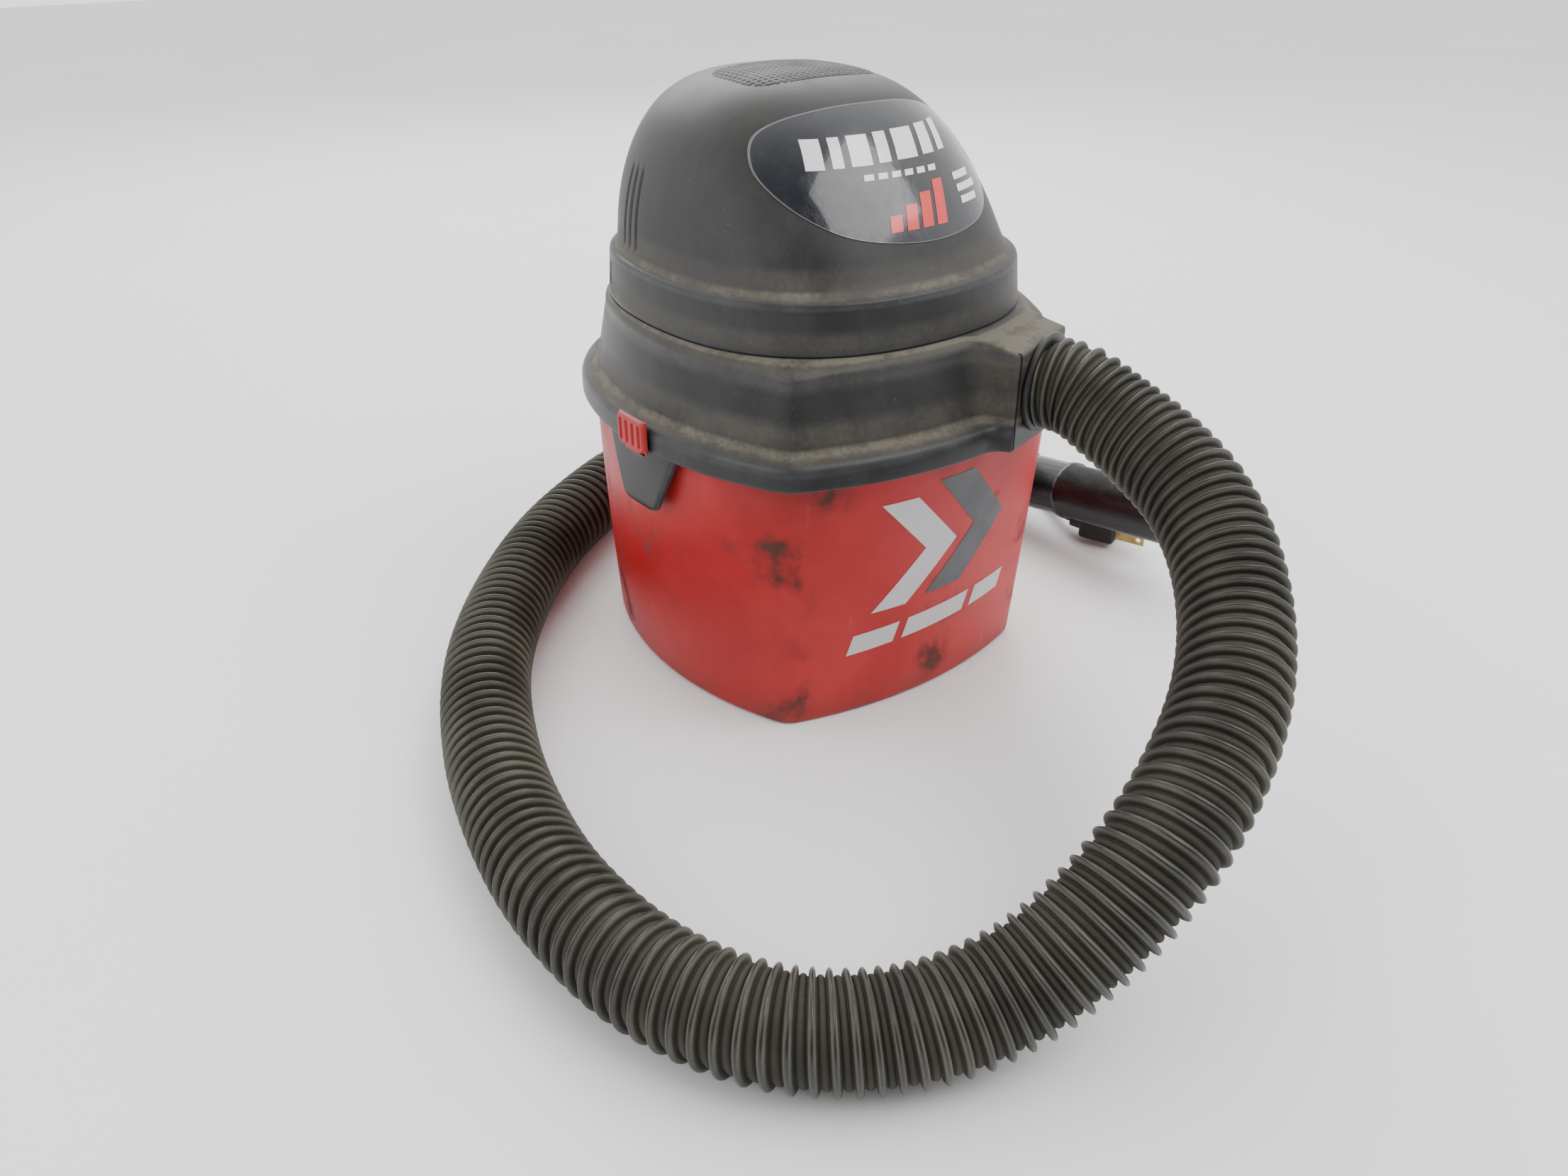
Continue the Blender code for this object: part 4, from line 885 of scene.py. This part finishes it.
VENT_CENTRE = (0.0, 17.0)
VENT_HALF = (37.0, 25.0)
VENT_PITCH = 3.4
VENT_STEP = 0.55
VENT_SUNK = 0.3
VENT_RISE = 0.36


def landed(tree, start, direction, lift):
    """Where a ray from a point in millimetres lands on a surface, lifted off it."""
    hit, normal, _, _ = tree.ray_cast(Vector(start) * MM, Vector(direction))
    if hit is None:
        raise ValueError("a ray misses its surface")
    return hit + normal * lift * MM


def build_vent_grille(tree):
    """A raised field of fine square openings on the dome's top."""
    x, y = np.meshgrid(*(np.arange(-half, half + 0.1, VENT_STEP) for half in VENT_HALF))
    near = np.sqrt((x / VENT_HALF[0]) ** 4 + (y / VENT_HALF[1]) ** 4)
    ribs = [step_up(np.abs((v / VENT_PITCH) % 1.0 - 0.5) * 2, 0.45, 0.75) for v in (x, y)]
    height = (1 - step_up(near, 0.86, 0.98)) * (VENT_SUNK + VENT_RISE * np.maximum(*ribs)) - VENT_SUNK
    bm = bmesh.new()
    points = np.stack([x + VENT_CENTRE[0], y + VENT_CENTRE[1], height], axis=-1).tolist()
    sheet(bm, [[bm.verts.new(landed(tree, (px, py, 320), (0, 0, -1), rise)) for px, py, rise in row]
               for row in points])
    mesh = mesh_of(bm, closed=False)
    # The grille's darker finish is painted shade for its openings.
    return piece("vent_grille", mesh, "head", "vent_black_painted_shade", slot="housing_black", smooth=40)


# ---- decals

PATCH_STEP = 2.0
BADGE_OUTLINE = (
    (-57, 250), (-51, 260), (-38, 266), (-18, 269.2), (4, 269.8), (26, 268.6), (44, 264), (55, 255),
    (60, 243), (57, 232), (46, 224.5), (28, 221), (6, 220), (-16, 221.8), (-34, 225.6), (-47, 232.4),
    (-55, 241))
BADGE_RIM = 0.985
MARK_LIFT = 0.5
PRINT_LIFT = 0.15
BAR_CORNERS = (
    ((-47, 36), (-22, 37.5), (-19, 48.5), (-44, 47)), ((-17, 37.8), (22, 39.8), (25, 50.8), (-14, 48.8)),
    ((27, 40), (50, 41.2), (53, 52.2), (30, 51)))


def on_front(bm, tree, x, z, lift):
    """A vertex on a front surface straight behind (x, z), lifted off it."""
    return bm.verts.new(landed(tree, (x, -200, z), (0, 1, 0), lift))


def lay_disc(bm, tree, outline, shares, lift):
    """A patch between scaled copies of an outline, laid on the surface; 0 is its middle point."""
    centre = outline.mean(axis=0)
    rows = []
    for share in shares:
        points = centre + (outline - centre) * share if share else [centre]
        ring = [on_front(bm, tree, *point, lift) for point in points]
        rows.append(ring + ring[:1] if share else ring * (len(outline) + 1))
    sheet(bm, rows)


def lay_patch(bm, tree, corners, lift):
    """A four-sided patch laid on the surface."""
    a, b, c, d = np.array(corners, float)
    wide, high = (max(2, int(max(np.hypot(*p), np.hypot(*q)) / PATCH_STEP) + 1)
                  for p, q in ((b - a, c - d), (d - a, c - b)))
    rows = []
    for v in np.linspace(0, 1, high):
        start, end = a + (d - a) * v, b + (c - b) * v
        points = [start + (end - start) * u for u in np.linspace(0, 1, wide)]
        rows.append([on_front(bm, tree, *point, lift) for point in points])
    sheet(bm, rows)


def decal(name, body, finish, slot, lay, tree, shapes, *rest):
    """One piece of printed shapes, each laid on the surface, all facing the front."""
    bm = bmesh.new()
    for shape in shapes:
        lay(bm, tree, shape, *rest)
    for face in bm.faces:
        face.normal_update()
        if face.normal.y > 0:
            face.normal_flip()
    piece(name, mesh_of(bm, closed=False), body, finish, slot=slot)


def slanted(x, z, wide, tall, lean):
    """The corners of a bar with level ends whose far end is moved sideways."""
    return (x, z), (x + wide, z), (x + wide + lean, z + tall), (x + lean, z + tall)


def build_badge(tree):
    """A glossy eye-shaped badge with a thin pale edge and plain abstract marks."""
    knots = np.array(BADGE_OUTLINE, float)
    outline = np.array([spline(*(knots[(i + k) % len(knots)] for k in (-1, 0, 1, 2)), t)
                        for i in range(len(knots)) for t in np.linspace(0, 1, 8, endpoint=False)])
    inside = (0, *np.linspace(0.06, BADGE_RIM, 26))
    decal("badge_film", "head", "label_black", "lid_black", lay_disc, tree, [outline], inside, 0.35)
    rim = (BADGE_RIM, 0.991, 0.997)
    decal("badge_edge", "head", "label_edge", "lid_black", lay_disc, tree, [outline], rim, 0.36)
    white = []
    x = -40.0
    for wide in (7.5, 5.0, 10.0, 6.5, 12.0, 7.5, 5.0):
        white.append(slanted(x, 249.0 + 0.02 * (x + 40), wide, 10.5, 3.4))
        x += wide + 3.4
    white += [slanted(x, 244.2, 4.8, 2.1, 0.7) for x in range(-18, 24, 7)]
    white += [slanted(31, z, wide, 2.6, 0.7) for z, wide in ((230.2, 13.0), (234.6, 15.5), (239.0, 13.0))]
    rising = ((-14, 6), (-5.5, 9), (3, 12.5), (11.5, 16))
    red = [slanted(x, 225.2, 6.2, tall, tall * 0.32) for x, tall in rising]
    decal("badge_marks_white", "head", "label_white", "lid_black", lay_patch, tree, white, MARK_LIFT)
    decal("badge_marks_red", "head", "label_red", "latch_red", lay_patch, tree, red, MARK_LIFT)


def build_emblem(tree):
    """A plain double arrowhead and a broken bar printed on the tank's front."""
    for name, x, z, width, height, bar in (("white", -36, 87, 27, 58, 19), ("grey", -6, 91, 27, 62, 22)):
        arrowhead = (slanted(x, z + height / 2, bar, -height / 2, width),
                     slanted(x + width, z, bar, -height / 2, -width))
        decal("emblem_" + name, "tank", "ink_" + name, "tank_red", lay_patch, tree, arrowhead, PRINT_LIFT)
    decal("emblem_bar", "tank", "ink_white", "tank_red", lay_patch, tree, BAR_CORNERS, PRINT_LIFT)


# ---- hose, wand and cord

HOSE_DOWN_Z = 21.5
HOSE_POINTS = in_metres(
    (51.8, -116, 157.5), (55, -126.8, 156.4), (57.5, -144, 150), (59, -166.9, 141.8), (55.6, -192.8, 132.1),
    (45, -217, 120.5), (27, -240, 107), (2, -260, 94.5), (-27, -274.5, 82), (-57, -282.5, 66.5),
    (-88, -282.5, 46.5), (-120, -275.5, 29), (-156, -262, 22.2),
    *((x, y, HOSE_DOWN_Z) for x, y in ((-190, -236), (-212.5, -195), (-221, -145), (-218, -95),
        (-205.5, -40), (-181.5, 18), (-145, 71), (-98.5, 119), (-47, 155), (-12.6, 171), (22.4, 177),
        (57.7, 173.9), (89.5, 161.4), (118.4, 142.9), (141.6, 117.6), (157.2, 87.2))),
    (164.4, 63.8, 22.2), (165.2, 50, 24.3),
)
HOSE_START = 2.3
WAND_AIM = Vector((0.058, -0.987, 0.15)).normalized()
WAND_BORE_R = 16.3

RIDGE_R = 21.0
VALLEY_R = 17.6
CUFF_R = 18.6
MINOR_RISE = 0.26
RAISED_SWELL = 0.045
PITCH = 6.8
TIGHT_PITCH = 5.2
RIDGE_AT, MINOR_AT, RIDGE_HALF = 0.25, 0.75, 0.21
RIDGE_STEPS = (-1.0, -0.95, -0.82, -0.6, -0.32, 0.0, 0.32, 0.6, 0.82, 0.95, 1.0)
SIDES = 40


def smooth_route(points, step):
    """Points at about the given spacing on a smooth curve through the route's own points."""
    knots = [Vector(p) for p in points]
    knots = [2 * knots[0] - knots[1], *knots, 2 * knots[-1] - knots[-2]]
    route = []
    for four in zip(knots, knots[1:], knots[2:], knots[3:]):
        count = max(1, round((four[2] - four[1]).length / step))
        route += [spline(*four, i / count) for i in range(count)]
    return route + [knots[-2]]


def hose_route(step):
    """The hose's centreline, from the face of the boss through the route's points."""
    return smooth_route((bore_place(0) @ Vector((0, 0, HOSE_START * MM)), *HOSE_POINTS), step)


def carried_frames(route):
    """Along a route: distances, points, and two directions across it that don't twist."""
    points = np.array(route)
    distance = np.concatenate([[0], np.cumsum(np.linalg.norm(np.diff(points, axis=0), axis=1))])
    tangents = np.gradient(points, axis=0)
    tangents /= np.linalg.norm(tangents, axis=1)[:, None]
    across = np.cross(tangents[0], (0, 0, 1.0))
    firsts = []
    for tangent in tangents:
        across = across - tangent * across.dot(tangent)
        across = across / np.linalg.norm(across)
        firsts.append(across)
    return distance, points, np.array(firsts), np.cross(tangents, firsts)


def ridge_rise(phase):
    """0 in the valley, 1 on the round main ridge, lower on the flat one between its turns."""
    main = np.sqrt(np.clip(1 - ((phase - RIDGE_AT) / RIDGE_HALF) ** 2, 0, 1))
    minor = MINOR_RISE * np.clip(1 - ((phase - MINOR_AT) / RIDGE_HALF) ** 4, 0, 1)
    return np.maximum(main, minor)


def build_hose():
    """A helical ridge and a flat one between its turns, swept along the route."""
    distance, *curves = carried_frames(hose_route(0.002))
    total = distance[-1]
    s = np.linspace(0, total, 4000)
    pitch = (TIGHT_PITCH + (PITCH - TIGHT_PITCH) * step_up(s, 0.02, 0.16)) * MM
    pitch = pitch * (1 + 0.04 * np.sin(s * 31) + 0.03 * np.sin(s * 77 + 1))
    turns = np.concatenate([[0], np.cumsum(np.diff(s) / pitch[1:])])
    phases = np.array([RIDGE_AT + RIDGE_HALF * u for u in RIDGE_STEPS]
                      + [MINOR_AT + RIDGE_HALF * u for u in RIDGE_STEPS[::2]])
    per_turn = len(phases)
    row = np.arange(-per_turn, (int(turns[-1]) + 2) * per_turn)
    turn_at_row = row // per_turn + phases[row % per_turn]
    turn, side = np.meshgrid(turn_at_row, np.arange(SIDES) / SIDES, indexing="ij")
    place = np.interp(np.clip(turn + side, 0, turns[-1]), turns, s)
    rise = np.broadcast_to(ridge_rise(turn_at_row % 1)[:, None], turn.shape)
    ends = step_up(place, 0, 1.5 * MM) * step_up(total - place, 0, 5 * MM)
    dent = 1 + 0.01 * np.sin(place * 43 + side * 12.6) + 0.008 * np.sin(place * 97 - side * 6.3)
    radius = VALLEY_R + (RIDGE_R - VALLEY_R) * rise * np.minimum(dent, 1)
    radius = radius * (1 + RAISED_SWELL * step_up(place, 0.02, 0.07) * (1 - step_up(place, 0.22, 0.38)))
    radius = (CUFF_R + (radius - CUFF_R) * ends)[..., None]
    centre, first, second = (np.stack([np.interp(place, distance, line) for line in curve.T], axis=-1)
                             for curve in curves)
    angle = side[..., None] * 2 * pi
    verts = centre / MM + radius * (first * np.cos(angle) + second * np.sin(angle))
    bm = bmesh.new()
    layer = bm.verts.layers.float.new("rise")
    rows = vertex_rows(bm, verts)
    for vert, height in zip(bm.verts, (rise * ends).ravel().tolist()):
        vert[layer] = height
    last = len(rows) - per_turn
    sheet(bm, [row + [rows[a + per_turn][0]] for a, row in enumerate(rows[:last])])
    sheet(bm, rows[last - 1:])
    bmesh.ops.remove_doubles(bm, verts=bm.verts, dist=0.00002)
    bmesh.ops.delete(bm, geom=[v for v in bm.verts if not v.link_faces], context="VERTS")
    bmesh.ops.holes_fill(bm, edges=[e for e in bm.edges if e.is_boundary])
    hose = piece("hose_ribbed", mesh_of(bm), "hose_set", "hose_black", "hose", smooth=60)
    return hose, [tuple(p) for p in hose_route(0.006)]


def build_cuffs():
    profile = ((20.8, 3.4), (22.5, 2.8), (22.5, 0.5), (15.7, 0.3), (15.4, -18), (13.2, -18), (13.2, 3.4))
    cuff = piece("hose_cuff_ring", turned(profile, 0.7, bore_place(0)), "hose_set", "cuff_black", "hose_cuff")
    profile = ((17.2, 46), (19.6, 45.4), (19.6, 42.4), (18.7, 41.6), (19.2, 2), (18.2, 0), (12, 0), (12, 14),
               (WAND_BORE_R, 14), (WAND_BORE_R, 46))
    end = along(WAND_AIM, Vector(HOSE_POINTS[-1]) + WAND_AIM * 0.3 * MM)
    collar = piece("hose_end_collar", turned(profile, 0.6, end), "hose_set", "gloss_black", "hose_end_cuff")
    return cuff, collar


CORD_DIAMETER = 0.007
COIL_CENTRE = Vector((0.104, 0.246, 0.0))
COIL_RADII = (44.5, 37.5, 30.5)
CORD_DOWN_Z = 3.5
COIL_LEVELS = (10.5, CORD_DOWN_Z)
# Turns from the start, then the numbers of the radius and the level there.
COIL_STAGES = ((0, 0, 0), (0.75, 0, 0), (1, 1, 0), (1.75, 1, 0), (2, 2, 0), (2.65, 2, 0), (2.85, 2, 1),
               (3.45, 2, 1), (3.65, 1, 1), (4.2, 1, 1), (4.45, 0, 1), (5.25, 0, 1))
TIE_TURN = 200
CORD_FROM_HEAD = in_metres(
    (0, 134.4, 193), (0, 142, 193), (1, 153, 189), (4, 168, 175), (8, 183, 150), (12, 200, 115),
    (17, 216, 78), (25, 232, 45), (35, 248, 20), (47.5, 264, 11.5), (59, 279, 10.5), (74, 288, 10.5),
)
CORD_TO_PLUG = in_metres(
    *((x, y, CORD_DOWN_Z) for x, y in ((148.7, 234), (149, 217), (150.2, 205), (155.5, 193), (164, 183),
        (176, 172), (191, 145), (203, 115), (209, 83), (208.5, 52))),
    (203, 23, 4), (195, -1, 6.5), (188, -19, 9.2),
)


def coil_points():
    """Spirals in over the top layer, drops to the lower one and spirals out; clockwise from above."""
    times, radii, levels = zip(*((turn, COIL_RADII[a], COIL_LEVELS[b]) for turn, a, b in COIL_STAGES))
    turns = np.linspace(0, times[-1], 127)
    angle = pi / 2 - turns * 2 * pi
    radius, height = np.interp(turns, times, radii), np.interp(turns, times, levels)
    return [COIL_CENTRE + Vector((r * cos(a), r * sin(a), z)) * MM
            for r, a, z in zip(radius, angle, height)]


def build_cord_tie():
    """A ribbon wrapped round one side of the coil, with its ends twisted together above it."""
    outer, _, inner = COIL_RADII
    thick = CORD_DIAMETER / MM
    half_wide, half_high = (outer - inner + thick) / 2 + 0.5, thick + 0.45
    middle, mid_high = (outer + inner) / 2, sum(COIL_LEVELS) / 2
    turns = np.linspace(0, 2 * pi, 64, endpoint=False)
    wide, high = (np.sign(v) * np.abs(v) ** 0.42 for v in (np.cos(turns), np.sin(turns)))
    rings = []
    for scale, along_coil in ((1.0, -2.4), (1.0, 2.4), (0.94, 2.4), (0.94, -2.4)):
        z = np.maximum(mid_high + high * half_high * scale, 0.15 + (1 - scale) * 4)
        rings.append(np.stack([middle + wide * half_wide * scale, np.full(64, along_coil), z], axis=1))
    knot = block((7.5, 3.4, 2.2), at(middle, 0, mid_high + half_high + 0.7), 0.8)
    mesh = combined(loft(rings, closed=True), "UNION", knot)
    mesh.transform(Matrix.Translation(COIL_CENTRE) @ turn_z(TIE_TURN))
    return piece("cord_tie", mesh, "head", "cord_black")


def build_cord():
    route = smooth_route([*CORD_FROM_HEAD, *coil_points(), *CORD_TO_PLUG], 0.004)
    data = set_all(bpy.data.curves.new("mains_cord", "CURVE"), dimensions="3D", bevel_depth=CORD_DIAMETER / 2,
                   bevel_resolution=5, use_fill_caps=True)
    line = data.splines.new("POLY")
    line.points.add(len(route) - 1)
    for slot, point in zip(line.points, route):
        slot.co = (*point, 1.0)
    data.materials.append(FINISH["cord_black"])
    cord = new_object("mains_cord", data)
    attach(cord, "head")
    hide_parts("cord_from_head", "cord_coil", "cord_to_plug")
    return cord


# ---- CAD nodes that stay

CAD_FINISH = {
    "gasket": ("lid_gasket", "sleeve_band"),
    "steel": ("latch_pin_left", "latch_pin_right", "lower_bearing", "upper_bearing", "motor_shaft",
              "bracket_screw_1", "bracket_screw_2", *(f"cage_screw_{i}" for i in (1, 2, 3)),
              *(f"housing_screw_{i}" for i in (1, 2, 3, 4))),
    "cage_grey": ("float_cage", "fan_shroud", "motor_base", "upper_bracket"),
    "float_white": ("float_ball",),
    "foam": ("foam_sleeve",),
    "aluminium": ("impeller",),
    "fan_plastic": ("cooling_fan",),
    "laminations": ("armature", "stator"),
    "copper": ("commutator", "field_coil_lower", "field_coil_upper"),
    "carbon": ("brush_left", "brush_right"),
    "brass": ("brush_holder_left", "brush_holder_right", "plug_blade_left", "plug_blade_right"),
    "switch_black": ("switch_bezel",),
    "switch_red": ("switch_rocker",),
    "cord_black": ("strain_relief", "plug_body"),
    "gloss_black": ("wand",),
}
SOFTENED = {"plug_body": 1.2, "strain_relief": 0.5, "float_cage": 0.4, "switch_bezel": 0.4,
            "switch_rocker": 0.5, "upper_bracket": 0.5, "fan_shroud": 0.5, "motor_base": 0.5}
WELD_DISTANCE = 0.00001


def finish_cad_nodes():
    """Give each carried-over node its finish, and soften the edges of the moulded ones."""
    for finish, names in CAD_FINISH.items():
        for name in names:
            dress(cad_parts[name].data, finish)
    for name in ("wand", *SOFTENED):
        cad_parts[name].modifiers.new("weld", "WELD").merge_threshold = WELD_DISTANCE
    for name, width in SOFTENED.items():
        set_all(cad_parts[name].modifiers.new("bevel", "BEVEL"), width=width * MM, segments=2,
                limit_method="ANGLE", angle_limit=radians(35), harden_normals=False)


# ---- assembly

make_camera()
make_light()
make_floor()
mains_cord = build_cord()
cord_tie = build_cord_tie()
hose_ribbed, hose_path = build_hose()
hose_cuff_ring, hose_end_collar = build_cuffs()
finish_cad_nodes()
tank_shell = build_tank()
build_lid()
build_latch(-1, "left")
build_latch(1, "right")
housing_shell = build_housing()
bpy.context.view_layer.update()
depsgraph = bpy.context.evaluated_depsgraph_get()
housing_tree = BVHTree.FromObject(housing_shell, depsgraph)
tank_tree = BVHTree.FromObject(tank_shell, depsgraph)
build_vent_grille(housing_tree)
build_badge(housing_tree)
build_emblem(tank_tree)
